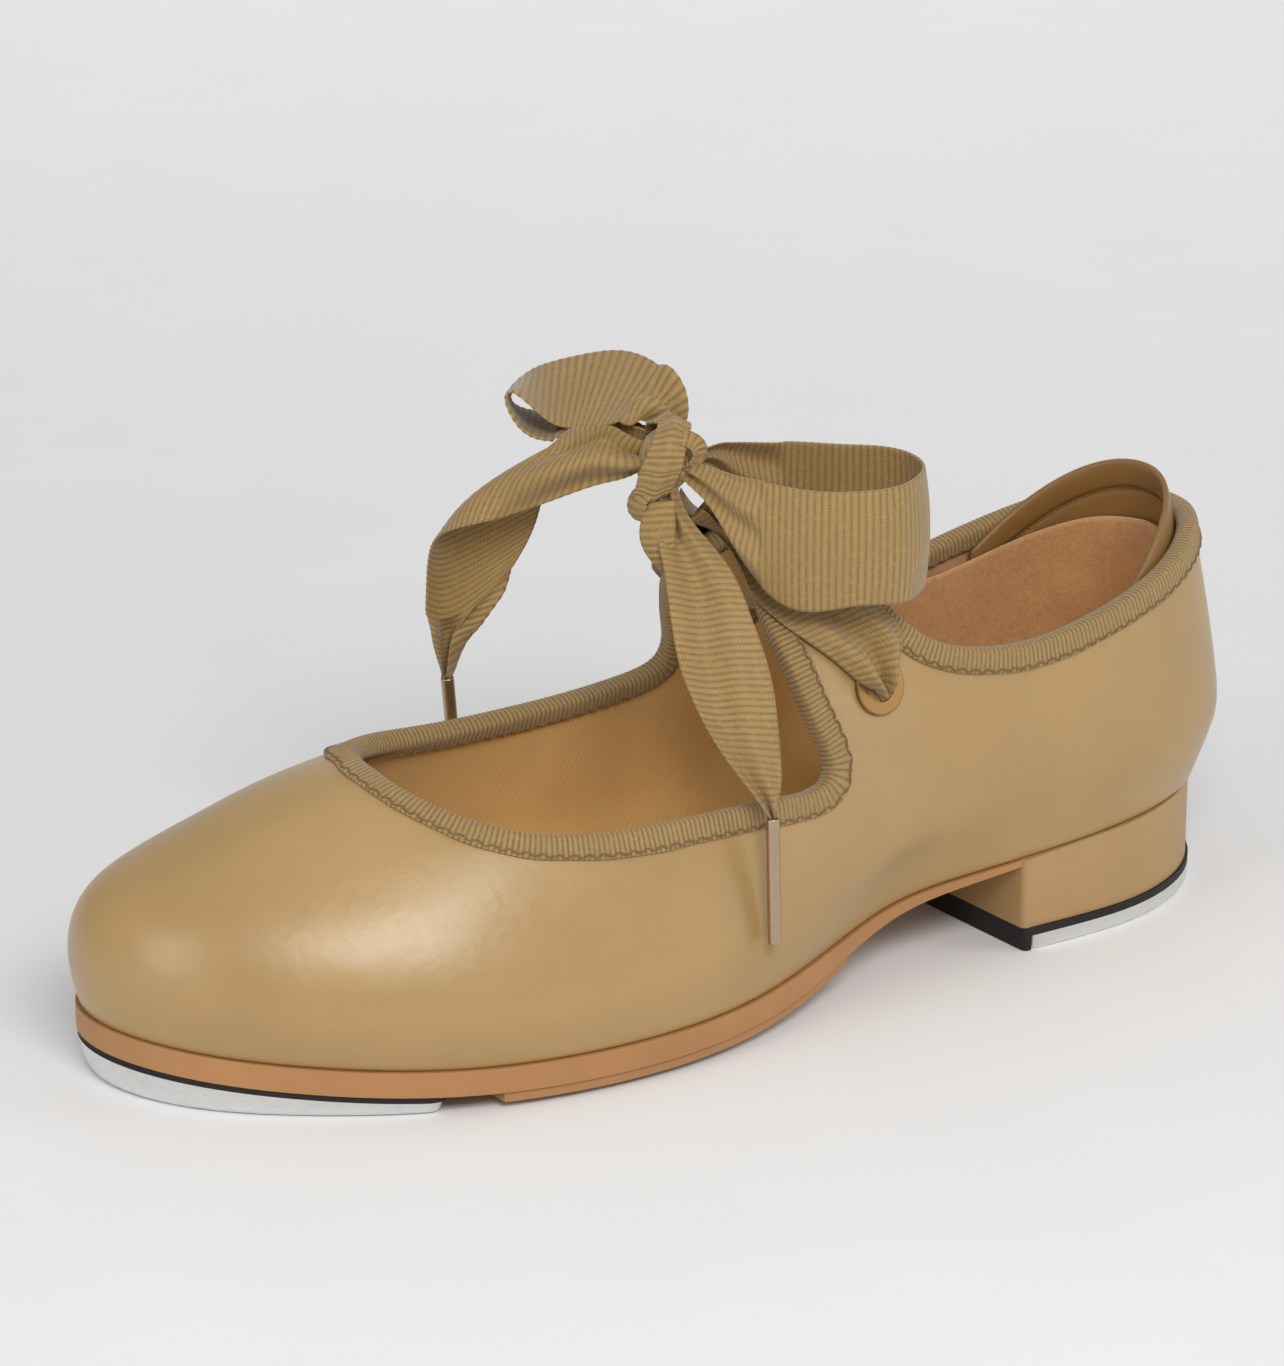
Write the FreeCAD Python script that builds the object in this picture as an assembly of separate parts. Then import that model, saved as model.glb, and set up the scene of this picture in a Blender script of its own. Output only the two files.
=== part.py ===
import FreeCAD, Part
import math
import os

# Tap shoe, left foot, about 240 mm long over the upper, in millimetres.
# The toe points along -X and the lateral side faces -Y.  The floor is Z = 0.  The origin is the
# centre of the heel tap's wearing face, under the middle of the heel seat.

os.makedirs("parts", exist_ok=True)
V = FreeCAD.Vector

# ---------------------------------------------------------------- driving dimensions
UPPER_THICK = 1.3            # coated upper leather
STIFFENER_THICK = 0.6        # toe puff and heel counter, between upper and lining
LINING_DEPTH = 2.0           # outer face of the lining, below the outside of the upper
LINING_THICK = 0.7
WALL_THICK = LINING_DEPTH + LINING_THICK

FILLER_THICK = 1.5           # cork layer between outsole and insole board
BOARD_THICK = 1.8            # fibre insole board
SOCK_THICK = 2.2             # foam-backed sock lining
SHANK_WIDTH, SHANK_THICK = 12.0, 1.2
OUTSOLE_THICK = 4.8
OUTSOLE_SKIVED = 1.2         # outsole at the heel breast
PAD_THICK = 2.0              # forepart pad behind the toe tap
PAD_FRONT_X, PAD_BACK_X = -150.0, -69.5
GLUE_LINE = 0.05

TAP_BOARD_THICK = 1.3        # black fibre board over the toe tap
TOE_TAP_BACK_X = -158.0
HEEL_BREAST_X = -29.0
HEEL_TAP_THICK = 3.0
HEEL_BOARD_THICK = 1.6
HEEL_TAP_OVERHANG = 0.5      # tap and board beyond the heel block
HEEL_LIP = 1.6               # depth of the board's lip in front of the heel tap

BINDING_DROP = 4.4           # how far the ribbon binding covers each side of the edge
BINDING_THICK = 0.6
EYELET_FLANGE_R, EYELET_HOLE_R, EYELET_BARREL_R = 5.5, 3.1, 3.6
RIBBON_THICK = 0.8
AGLET_R = 1.25
SCREW_HEAD_R, SCREW_R = 2.6, 1.1

# ---------------------------------------------------------------- the last
# Height of the feather line, where the upper meets the outsole, against X.
FEATHER_HEIGHT = [
    (-225, 14.3), (-203, 12.6), (-194, 11.4), (-182, 10.2), (-171, 9.3), (-152, 8.4), (-133, 8.0),
    (-113, 8.2), (-96, 9.0), (-86, 9.9), (-74, 11.2), (-64, 12.8), (-54, 14.6), (-45, 16.1),
    (-36, 17.5), (-26, 18.8), (-12, 20.0), (10, 21.0), (35, 22.0),
]
# Ridge over the foot that both walls lean to: X, Y, Z.
RIDGE = [
    (-175, 10.0, 51.0), (-153, 8.5, 55.0), (-142, 7.5, 57.0), (-121, 5.0, 62.5), (-100, 3.5, 74.0),
    (-86, 3.0, 84.0), (-73, 2.5, 90.0), (-57, 2.0, 93.0), (-38, 1.0, 107.0), (-19, 0.5, 118.0),
    (20, 0.0, 126.0),
]
# Stations from the heel back along the lateral side to the toe, and back along the medial side:
# feather X and Y, bulge beyond it at the low and the high girth, ridge X, share of straight lean.
STATIONS = [
    (28.5, 0.0, 4.2, 4.4, 0.0, 0.3),
    (23.5, -14.2, 3.8, 3.8, 0.0, 0.3),
    (7.0, -24.0, 2.8, 3.0, 0.0, 0.25),
    (-14.0, -26.8, 2.2, 2.2, -14.0, 0.2),
    (-35.0, -24.2, 3.2, 4.6, -36.0, 0.2),
    (-55.0, -20.9, 4.4, 7.6, -57.0, 0.2),
    (-76.0, -26.0, 4.0, 5.0, -76.0, 0.22),
    (-97.0, -32.2, 2.8, 0.8, -96.0, 0.25),
    (-118.0, -33.8, 2.2, -1.0, -113.0, 0.3),
    (-139.0, -31.4, 2.2, -1.8, -126.0, 0.3),
    (-160.0, -25.0, 2.4, -1.8, -133.0, 0.37),
    (-180.0, -12.6, 2.8, -1.5, -137.0, 0.43),
    (-195.5, 2.6, 2.4, -1.8, -140.0, 0.5),
    (-202.6, 20.5, 2.0, -2.6, -141.0, 0.54),
    (-198.0, 36.5, 1.8, -3.2, -140.0, 0.54),
    (-183.0, 44.7, 2.0, -3.0, -137.0, 0.5),
    (-163.0, 46.0, 2.2, -2.0, -133.0, 0.44),
    (-142.0, 43.5, 2.3, -0.6, -126.0, 0.32),
    (-121.0, 38.0, 3.0, 0.5, -115.0, 0.28),
    (-99.0, 30.5, 4.0, 3.0, -97.0, 0.25),
    (-77.0, 24.0, 5.6, 7.0, -77.0, 0.22),
    (-55.0, 21.0, 6.0, 9.0, -57.0, 0.2),
    (-35.0, 23.4, 4.0, 5.6, -36.0, 0.2),
    (-14.0, 26.5, 2.4, 2.6, -14.0, 0.2),
    (7.0, 24.0, 2.8, 3.0, 0.0, 0.25),
    (23.5, 14.2, 3.8, 3.8, 0.0, 0.3),
]
LOW_GIRTH, HIGH_GIRTH = 10.5, 22.5          # above the feather line
LEAN_STEPS = (0.40, 0.75, 1.0)              # heights of the upper levels, as shares up to the ridge
N = len(STATIONS)

# Cut edge of the upper as (station, level): lateral side from the heel back to the throat front,
# up and down the tab that carries the eyelet, then the medial side back to the heel.
TOPLINE = [
    (0.0, 2.95), (0.7, 2.95), (1.4, 2.89), (2.05, 2.80), (2.65, 2.73), (3.25, 2.70), (3.8, 2.76),
    (4.25, 2.90), (4.62, 3.10), (4.9, 3.36), (5.1, 3.66), (5.25, 3.97), (5.42, 4.28), (5.7, 4.50),
    (6.02, 4.53), (6.24, 4.36), (6.31, 4.05), (6.28, 3.70), (6.22, 3.35), (6.14, 3.05), (6.06, 2.80),
    (6.09, 2.63), (6.3, 2.59), (6.65, 2.67), (7.1, 2.79), (7.6, 2.91), (8.15, 3.03), (8.7, 3.19),
    (9.25, 3.40), (9.8, 3.67), (10.35, 3.95), (11.0, 4.22), (11.9, 4.45), (13.0, 4.54),
    (14.0, 4.51), (14.9, 4.36), (15.6, 4.17), (16.2, 3.97), (16.8, 3.76), (17.35, 3.56), (17.9, 3.38),
    (18.4, 3.22), (18.9, 3.07), (19.35, 2.96), (19.75, 2.90), (19.98, 2.94), (20.03, 3.12),
    (19.96, 3.40), (19.87, 3.75), (19.80, 4.08), (19.84, 4.36), (20.0, 4.51), (20.3, 4.49),
    (20.58, 4.28), (20.75, 3.97), (20.9, 3.66), (21.1, 3.36), (21.38, 3.10), (21.75, 2.90),
    (22.2, 2.76), (22.75, 2.70), (23.35, 2.73), (23.95, 2.80), (24.6, 2.89), (25.3, 2.95),
]
T = len(TOPLINE)
STATION_PITCH, LEVEL_PITCH = 21.0, 15.0     # rough size of one station and one level
WALL_TOP = 4.66                             # level that clears the whole cut edge
LINING_SEAM = 4.0                           # station where the heel lining meets the vamp lining
EYELET_NEAR, EYELET_FAR = (5.40, 3.10), (20.62, 3.10)


def table(rows, x, column=1):
    """Straight-line value of a table at x."""
    if x <= rows[0][0]:
        return rows[0][column]
    for a, b in zip(rows, rows[1:]):
        if x <= b[0]:
            return a[column] + (b[column] - a[column]) * (x - a[0]) / (b[0] - a[0])
    return rows[-1][column]


def smooth(rows, x, column=1, reach=4.0):
    """Table value averaged over a few points round x, so that its bends are soft."""
    weights = (1, 6, 15, 20, 15, 6, 1)
    total = sum(w * table(rows, x + reach * (j - 3), column) for j, w in enumerate(weights))
    return total / sum(weights)


def feather_z(x):
    return smooth(FEATHER_HEIGHT, x)


def control_values(rows, closed):
    """Control values of the uniform cubic B-spline that passes through the given rows."""
    n = len(rows)
    c = [list(r) for r in rows]
    for _ in range(40):
        for i in range(n):
            if not closed and i in (0, n - 1):
                continue
            before, after = c[(i - 1) % n], c[(i + 1) % n]
            c[i] = [(6 * p - a - b) / 4 for p, a, b in zip(rows[i], before, after)]
    return c


def blending(t):
    return (
        (1 - t) ** 3 / 6,
        (3 * t ** 3 - 6 * t * t + 4) / 6,
        (-3 * t ** 3 + 3 * t * t + 3 * t + 1) / 6,
        t ** 3 / 6,
    )


def station_levels(i):
    """Points of one station from the feather line up to the ridge."""
    x, y, low, high, ridge_x, straight = STATIONS[i]
    ahead, behind = STATIONS[(i + 1) % N], STATIONS[i - 1]
    tx, ty = ahead[0] - behind[0], ahead[1] - behind[1]
    nx, ny = -ty / math.hypot(tx, ty), tx / math.hypot(tx, ty)
    ridge_y, ridge_z = smooth(RIDGE, ridge_x, 1), smooth(RIDGE, ridge_x, 2)
    z = feather_z(x)
    points = [(x, y, z), (x + nx * low, y + ny * low, z + LOW_GIRTH)]
    x2, y2, z2 = x + nx * high, y + ny * high, z + HIGH_GIRTH
    points.append((x2, y2, z2))
    for w in LEAN_STEPS:
        f = (1 - straight) * (1 - math.sqrt(1 - w * w)) + straight * w
        points.append((x2 + (ridge_x - x2) * f, y2 + (ridge_y - y2) * f, z2 + (ridge_z - z2) * w))
    return points


def last_net():
    columns = [station_levels(i) for i in range(N)]
    levels = [control_values([c[k] for c in columns], True) for k in range(len(columns[0]))]
    return [control_values([level[i] for level in levels], False) for i in range(N)]


NET = last_net()
M = len(NET[0])


def last(u, s):
    """Outside of the upper at station u and level s, as (x, y, z)."""
    i = math.floor(u)
    j = min(M - 2, max(0, math.floor(s)))
    across, up = blending(u - i), blending(s - j)
    out = [0.0, 0.0, 0.0]
    for a in range(4):
        column = NET[(i - 1 + a) % N]
        for b in range(4):
            k = j - 1 + b
            if k < 0:
                p = [2 * v - w for v, w in zip(column[0], column[1])]
            elif k > M - 1:
                p = [2 * v - w for v, w in zip(column[M - 1], column[M - 2])]
            else:
                p = column[k]
            for axis in range(3):
                out[axis] += across[a] * up[b] * p[axis]
    return V(*out)


def normal(u, s):
    """Outward normal of the last."""
    d = 0.02
    along = last(u + d, s) - last(u - d, s)
    up = last(u, s + d) - last(u, s - d)
    n = up.cross(along)
    return n.normalize()


def skin(u, s, depth):
    """Point at a depth below the outside of the upper."""
    return last(u, s) - normal(u, s) * depth


# ---------------------------------------------------------------- wall of the upper
EDGE = control_values([(u - N * i / T, s) for i, (u, s) in enumerate(TOPLINE)], True)


def edge_at(t):
    """(station, level) of the cut edge at t, counted in its own points."""
    i = math.floor(t)
    b = blending(t - i)
    u = N * t / T + sum(b[a] * EDGE[(i - 1 + a) % T][0] for a in range(4))
    s = sum(b[a] * EDGE[(i - 1 + a) % T][1] for a in range(4))
    return u, s


def below_edge(t, drop):
    """(station, level) of the point `drop` mm into the upper from its cut edge at t."""
    d = 0.05
    u, s = edge_at(t)
    (u0, s0), (u1, s1) = edge_at(t - d), edge_at(t + d)
    into = normal(u, s).cross(last(u1, s1) - last(u0, s0)).normalize() * drop
    along, up = last(u + d, s) - last(u - d, s), last(u, s + d) - last(u, s - d)
    aa, ab, bb = along.dot(along), along.dot(up), up.dot(up)
    ai, bi = along.dot(into), up.dot(into)
    size = (aa * bb - ab * ab) / (2 * d)
    return u + (ai * bb - bi * ab) / size, s + (bi * aa - ai * ab) / size


def wall(depth, first=0.0, end=float(N), low=0.0, high=WALL_TOP):
    """Grid of points of one layer of the wall between two stations and two levels."""
    columns, rows = round((end - first) * 2), round((high - low) * 2.6)
    stations = [first + (end - first) * i / columns for i in range(columns + 1)]
    levels = [low + (high - low) * j / rows for j in range(rows + 1)]
    return [[skin(u, s, depth) for s in levels] for u in stations]


# ---------------------------------------------------------------- solids
def spline_through(points, ring=False):
    """Cubic spline through points with even parameters; a ring returns to its first point."""
    curve = Part.BSplineCurve()
    count = len(points) + (1 if ring else 0)
    curve.interpolate(Points=points, Parameters=[float(i) for i in range(count)], PeriodicFlag=ring)
    return curve


def sheet_face(grid, ring=False):
    """Bicubic surface through a grid of points with even parameters."""
    lines = [spline_through(line) for line in (grid[:-1] if ring else grid)]
    across = [spline_through(list(row), ring) for row in zip(*(c.getPoles() for c in lines))]
    poles = [list(row) for row in zip(*(c.getPoles() for c in across))]
    surface = Part.BSplineSurface()
    surface.buildFromPolesMultsKnots(
        poles, across[0].getMultiplicities(), lines[0].getMultiplicities(),
        across[0].getKnots(), lines[0].getKnots(), ring, False, 3, 3,
    )
    return surface


def strip_face(a, b, ring=False):
    """Straight strip between two cubic splines with the same knots."""
    surface = Part.BSplineSurface()
    surface.buildFromPolesMultsKnots(
        [a.getPoles(), b.getPoles()], (2, 2), a.getMultiplicities(),
        (0.0, 1.0), a.getKnots(), False, ring, 1, 3,
    )
    return surface.toShape()


def closed_solid(faces, tolerance=0.01):
    """Sews faces into one solid and turns it the right way out."""
    shell = Part.makeShell(faces)
    shell.sewShape(tolerance)
    shell = shell.Shells[0] if shell.ShapeType != "Shell" else shell
    solid = Part.Solid(shell)
    if solid.Volume < 0:
        solid.reverse()
    return solid


def thick(outer, inner, ring=False):
    """Solid between two grids of points, closed round its edges."""
    a, b = sheet_face(outer, ring), sheet_face(inner, ring)
    rows, columns = len(outer) - 1.0, len(outer[0]) - 1.0
    faces = [a.toShape(), b.toShape()] + [strip_face(a.vIso(k), b.vIso(k), ring) for k in (0.0, columns)]
    if not ring:
        faces += [strip_face(a.uIso(k), b.uIso(k)) for k in (0.0, rows)]
    return closed_solid(faces)


# ---------------------------------------------------------------- upper and its layers
def cut_band():
    """Shell of two faces that crosses the whole wall along the cut edge."""
    faces = []
    for first in (0, T):
        rails = []
        for depth in (-2.5, WALL_THICK + 2.5):
            points = [skin(*edge_at((first + i) / 2), depth) for i in range(T + 1)]
            rails.append(spline_through(points).toShape())
        faces.append(Part.makeRuledSurface(*rails))
    return Part.makeShell(faces)


BAND = cut_band()


def wall_layer(depth, thickness, first=0.0, end=float(N)):
    """Layer of the wall from the feather line to the cut edge."""
    whole = thick(wall(depth, first, end), wall(depth + thickness, first, end), end - first == N)
    pieces = whole.generalFuse([BAND])[0].Solids
    return min(pieces, key=lambda piece: piece.CenterOfMass.z)


def local_frame(station_level, depth=0.0):
    """Placement at a point of the upper, its Z axis pointing out of the shoe."""
    n = normal(*station_level)
    return FreeCAD.Placement(skin(*station_level, depth), FreeCAD.Rotation(V(0, 0, 1), n))


def eyelet_bore(station_level):
    bore = Part.makeCylinder(EYELET_BARREL_R + 0.05, 12, V(0, 0, -8))
    bore.Placement = local_frame(station_level)
    return bore


def binding():
    """Folded ribbon over the cut edge: two legs joined by a fold, all round the opening."""
    outer, inner = -0.1, WALL_THICK + 0.1
    legs = [
        (outer - BINDING_THICK, BINDING_DROP), (outer - BINDING_THICK, -BINDING_THICK),
        (inner + BINDING_THICK, -BINDING_THICK), (inner + BINDING_THICK, BINDING_DROP),
        (inner, BINDING_DROP), (inner, -0.05), (outer, -0.05), (outer, BINDING_DROP),
    ]
    rails = []
    for depth, drop in legs:
        points = [skin(*below_edge(i / 2, drop), depth) for i in range(2 * T)]
        rails.append(spline_through(points, ring=True))
    return closed_solid([strip_face(p, q, ring=True) for p, q in zip(rails, rails[1:] + rails[:1])])


COLLAR_TAB_REACH, COLLAR_TAB_TOP = 2.5, 3.21      # stations each side of the back, highest level
COLLAR_TAB_DEPTH, COLLAR_TAB_THICK = 3.55, 1.5


def collar_tab():
    """Padded leather tab at the heel back, tucked inside the binding."""
    grids = []
    for depth in (COLLAR_TAB_DEPTH, COLLAR_TAB_DEPTH + COLLAR_TAB_THICK):
        grid = []
        for i in range(15):
            u = COLLAR_TAB_REACH * (i / 7 - 1)
            share = abs(u / COLLAR_TAB_REACH)
            top = COLLAR_TAB_TOP - 0.56 * share ** 2.3
            low = 2.53 - 0.30 * share ** 2
            grid.append([skin(u, low + (top - low) * j / 5, depth) for j in range(6)])
        grids.append(grid)
    return thick(*grids)


def eyelet(station_level):
    """Flanged tube pressed through the wall from outside."""
    flange = Part.makeCylinder(EYELET_FLANGE_R, 0.7, V(0, 0, 0.3))
    flange = flange.makeFillet(0.3, [e for e in flange.Edges if e.BoundBox.ZMin > 0.9])
    barrel = Part.makeCylinder(EYELET_BARREL_R, 4.2, V(0, 0, -3.7))
    bore = Part.makeCylinder(EYELET_HOLE_R, 8, V(0, 0, -5))
    shape = flange.fuse(barrel).cut(bore).removeSplitter()
    shape.Placement = local_frame(station_level)
    return shape


def eyelet_washer(station_level):
    hole = Part.makeCylinder(EYELET_BARREL_R + 0.02, 8, V(0, 0, -6))
    ring = Part.makeCylinder(5.0, 0.5, V(0, 0, -3.6)).cut(hole)
    ring.Placement = local_frame(station_level)
    return ring


# ---------------------------------------------------------------- bottom of the shoe
def feather_offset(out, first=0.0, end=float(N), step=0.5):
    """Points of the feather line moved out sideways, at Z = 0."""
    points = []
    for i in range(round((end - first) / step) + 1):
        u = first + (end - first) * i / round((end - first) / step)
        d = 0.02
        p, along = last(u, 0), last(u + d, 0) - last(u - d, 0)
        side = V(-along.y, along.x, 0).normalize()
        points.append(V(p.x, p.y, 0) + side * out)
    return points


def prism(wire, low, high):
    face = Part.Face(wire)
    face.translate(V(0, 0, low))
    return face.extrude(V(0, 0, high - low))


def sole_prism(out):
    return prism(Part.Wire(spline_through(feather_offset(out)[:-1], True).toShape()), -5, 45)


def slab(bottom, top, x0, x1):
    """Full-width plate between two heights that follow X."""
    count = max(3, round((x1 - x0) / 5))
    xs = [x0 + (x1 - x0) * i / count for i in range(count + 1)]
    low = spline_through([V(x, -60, bottom(x)) for x in xs]).toShape()
    high = spline_through([V(x, -60, top(x)) for x in xs]).toShape()
    ends = [Part.makeLine(V(x, -60, bottom(x)), V(x, -60, top(x))) for x in (x0, x1)]
    wire = Part.Wire([low, ends[1], high, ends[0]])
    return Part.Face(wire).extrude(V(0, 120, 0))


def above_feather(low, high, x0=-215.0, x1=45.0):
    return slab(lambda x: feather_z(x) + low, lambda x: feather_z(x) + high, x0, x1)


OUTSOLE_TABLE = [(-210, OUTSOLE_THICK), (-82, OUTSOLE_THICK), (-50, 2.0), (-29, OUTSOLE_SKIVED)]
SHANK_FRONT_X, SHANK_BACK_X = -100.0, -8.0


def outsole_bottom(x):
    return feather_z(x) - smooth(OUTSOLE_TABLE, x, 1, 3.0)


def outsole_body():
    plate = slab(outsole_bottom, feather_z, -215.0, HEEL_BREAST_X)
    return plate.common(sole_prism(0.8))


def forepart_pad():
    def top(x):
        return outsole_bottom(x) - GLUE_LINE

    plate = slab(lambda x: top(x) - PAD_THICK, top, PAD_FRONT_X, PAD_BACK_X)
    return plate.common(sole_prism(0.2))


def bottom_layer(low, high, out=-3.4):
    return above_feather(low, high).common(sole_prism(out))


def shank_slab(margin):
    low, high = 0.15 - margin, 0.15 + SHANK_THICK + margin
    plate = above_feather(low, high, SHANK_FRONT_X - margin, SHANK_BACK_X + margin)
    half = SHANK_WIDTH / 2 + margin
    return plate.common(Part.makeBox(120, 2 * half, 60, V(SHANK_FRONT_X - 5, -half, -5)))


def heel_outline(out, front_x, corner=0.5):
    """Closed wire of the heel seat: straight breast, rounded corners, round back."""
    half = [(HEEL_BREAST_X + 7, 27.2), (-8, 27.5), (4, 25.6), (15, 20.7), (24.5, 12.0)]
    half = [row for row in half if row[0] > front_x + corner + 3]
    side = [V(x, -y, 0) for x, y in half] + [V(29.0, 0, 0)] + [V(x, y, 0) for x, y in reversed(half)]
    grown = []
    for before, p, after in zip(side[:1] + side, side, side[1:] + side[-1:]):
        along = (after - before).normalize()
        grown.append(p + V(along.y, -along.x, 0) * out)
    width = 27.0 + out
    start, end = V(front_x + corner, -width, 0), V(front_x + corner, width, 0)
    curve = spline_through([start] + grown + [end]).toShape()
    near_corner, far_corner = Part.BezierCurve(), Part.BezierCurve()
    far_corner.setPoles([end, V(front_x, width, 0), V(front_x, width - corner, 0)])
    near_corner.setPoles([V(front_x, -width + corner, 0), V(front_x, -width, 0), start])
    breast = Part.makeLine(V(front_x, width - corner, 0), V(front_x, -width + corner, 0))
    return Part.Wire([curve, far_corner.toShape(), breast, near_corner.toShape()])


def heel_block():
    block = prism(heel_outline(0.0, HEEL_BREAST_X, 1.5), HEEL_TAP_THICK + HEEL_BOARD_THICK, 35)
    return block.common(slab(lambda x: 0.0, feather_z, -60.0, 45.0))


def heel_tap_board():
    top = HEEL_TAP_THICK + HEEL_BOARD_THICK
    outline = heel_outline(HEEL_TAP_OVERHANG, HEEL_BREAST_X, 1.5)
    behind_lip = Part.makeBox(80, 80, 40, V(HEEL_BREAST_X + HEEL_LIP, -40, -20))
    return prism(outline, HEEL_TAP_THICK, top).fuse(prism(outline, 0.2, top).cut(behind_lip)).removeSplitter()


def rounded(shape, radius, z):
    """Rounds the edges that lie in the plane at height z."""
    edges = [e for e in shape.Edges if abs(e.BoundBox.ZMin - z) < 0.01 and abs(e.BoundBox.ZMax - z) < 0.01]
    return shape.makeFillet(radius, edges)


def heel_tap():
    plate = prism(heel_outline(HEEL_TAP_OVERHANG, HEEL_BREAST_X + HEEL_LIP + 0.2, 2.5), 0, HEEL_TAP_THICK)
    return rounded(plate, 0.7, 0.0)


def tap_top(x):
    return outsole_bottom(x) - TAP_BOARD_THICK


def toe_outline(out, z, corner=5.0):
    """Wire of the toe tap: follows the toe and closes straight across the ball."""
    x_end = TOE_TAP_BACK_X - corner
    ends = []
    for low, high in ((9.0, 12.0), (18.0, 14.0)):
        for _ in range(30):
            middle = (low + high) / 2
            low, high = (middle, high) if last(middle, 0).x > x_end else (low, middle)
        ends.append(low)
    curve_points = feather_offset(out, ends[0], ends[1], (ends[1] - ends[0]) / 16)
    a, b = curve_points[0], curve_points[-1]
    curve = spline_through(curve_points).toShape()
    back = TOE_TAP_BACK_X + min(0.0, out) * 0.5
    near_corner, far_corner = Part.BezierCurve(), Part.BezierCurve()
    far_corner.setPoles([b, V(back, b.y + 0.6, 0), V(back, b.y - corner, 0)])
    near_corner.setPoles([V(back, a.y + corner, 0), V(back, a.y - 2.2, 0), a])
    line = Part.makeLine(V(back, b.y - corner, 0), V(back, a.y + corner, 0))
    wire = Part.Wire([curve, far_corner.toShape(), line, near_corner.toShape()])
    wire.translate(V(0, 0, z))
    return wire


def toe_tap():
    sections = [(-2.4, 0.0), (-1.1, 0.7), (-0.3, 2.4), (0.2, 4.5), (0.3, 10.0)]
    body = Part.makeLoft([toe_outline(out, z) for out, z in sections], True, False)
    return body.common(slab(lambda x: -1.0, tap_top, -215.0, -150.0))


def toe_tap_board():
    plate = slab(tap_top, lambda x: outsole_bottom(x) - GLUE_LINE, -215.0, -150.0)
    return plate.common(prism(toe_outline(0.3, 0.0), -1, 20))


# ---------------------------------------------------------------- screws
TOE_SCREWS = [(-190.0, 20.0), (-168.0, 0.0), (-168.0, 33.0)]
HEEL_SCREWS = [(-16.0, -15.0), (-16.0, 15.0), (17.0, 0.0)]
TOE_SCREW_LENGTH, HEEL_SCREW_LENGTH = 7.0, 13.0
SCREW_RECESS, SCREW_HEAD_THICK = 0.4, 1.1


def screws(places, length):
    made = []
    for x, y in places:
        head = Part.makeCylinder(SCREW_HEAD_R, SCREW_HEAD_THICK, V(x, y, SCREW_RECESS))
        shank = Part.makeCylinder(SCREW_R, length - 1, V(x, y, SCREW_RECESS + 0.5))
        tip = Part.makeCone(SCREW_R, 0.3, 1.5, V(x, y, SCREW_RECESS + length - 0.5))
        cross = [Part.makeBox(3.4, 0.6, 0.6, V(x - 1.7, y - 0.3, SCREW_RECESS))]
        cross.append(Part.makeBox(0.6, 3.4, 0.6, V(x - 0.3, y - 1.7, SCREW_RECESS)))
        made.append(head.fuse([shank, tip]).cut(cross).removeSplitter())
    return Part.makeCompound(made)


def screw_holes(places, length, head=True):
    holes = []
    for x, y in places:
        holes.append(Part.makeCylinder(SCREW_R + 0.05, length + 2, V(x, y, 0)))
        if head:
            depth = 1 + SCREW_RECESS + SCREW_HEAD_THICK
            holes.append(Part.makeCylinder(SCREW_HEAD_R + 0.1, depth, V(x, y, -1)))
    return holes


# ---------------------------------------------------------------- ribbon
KNOT = V(-92.5, 1.5, 102.5)
KNOT_R = 6.4


def on_skin(rail):
    return [skin(u, s, -height) for u, s, height in rail]


def mirrored(rail):
    return [(N - u, s, height) for u, s, height in rail]


def ribbon(rails, thickness=RIBBON_THICK):
    """Strip of even thickness through rails of points that run along it."""
    columns = len(rails[0])
    middle = []
    for i in range(columns):
        points = [rail[i] for rail in rails]
        line = []
        for p, q in zip(points, points[1:]):
            line += [p, p + (q - p) / 3, p + (q - p) * 2 / 3]
        middle.append(line + points[-1:])
    sides = ([], [])
    for i, line in enumerate(middle):
        ahead, behind = middle[min(i + 1, columns - 1)], middle[max(i - 1, 0)]
        rows = ([], [])
        for k, p in enumerate(line):
            across = line[min(k + 1, len(line) - 1)] - line[max(k - 1, 0)]
            n = (ahead[k] - behind[k]).cross(across).normalize() * (thickness / 2)
            rows[0].append(p + n)
            rows[1].append(p - n)
        sides[0].append(rows[0])
        sides[1].append(rows[1])
    return thick(*sides)


STRAND_LEFT = [
    (5.45, 3.05, 0.2), (5.5, 3.08, 1.8), (5.64, 3.2, 2.6), (5.8, 3.4, 2.6), (6.1, 3.8, 2.6), (6.3, 4.3, 2.6),
    (6.25, 4.6, 2.8),
]
STRAND_RIGHT = [
    (5.35, 3.05, 0.2), (5.28, 3.1, 1.8), (5.16, 3.2, 2.6), (5.05, 3.38, 2.6), (5.2, 3.7, 2.6), (5.45, 4.2, 2.6),
    (5.75, 4.45, 2.8),
]
STRAND_END_NEAR = [V(-89.4, -3.6, 92.6), V(-86.4, -1.0, 93.6)]
STRAND_END_FAR = [V(-89.4, 7.2, 92.6), V(-86.6, 4.4, 93.6)]


def strand(left, right, end):
    return ribbon([on_skin(left) + [end[0]], on_skin(right) + [end[1]]])


def ribbon_cross():
    """Ribbon across the inside, over the instep, between the two eyelets."""
    rails = []
    for side in (-1, 1):
        rail = []
        for k in range(9):
            t = k / 8
            u_near, s = EYELET_NEAR[0], EYELET_NEAR[1]
            half = 1.5 + 7.0 * math.sin(math.pi * t) ** 0.7
            near, far = skin(u_near, s, 4.4), skin(EYELET_FAR[0], EYELET_FAR[1], 4.4)
            arch = 12.0 * math.sin(math.pi * t)
            rail.append(near + (far - near) * t + V(side * half, 0, arch))
        rails.append(rail)
    return ribbon(rails)


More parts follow.
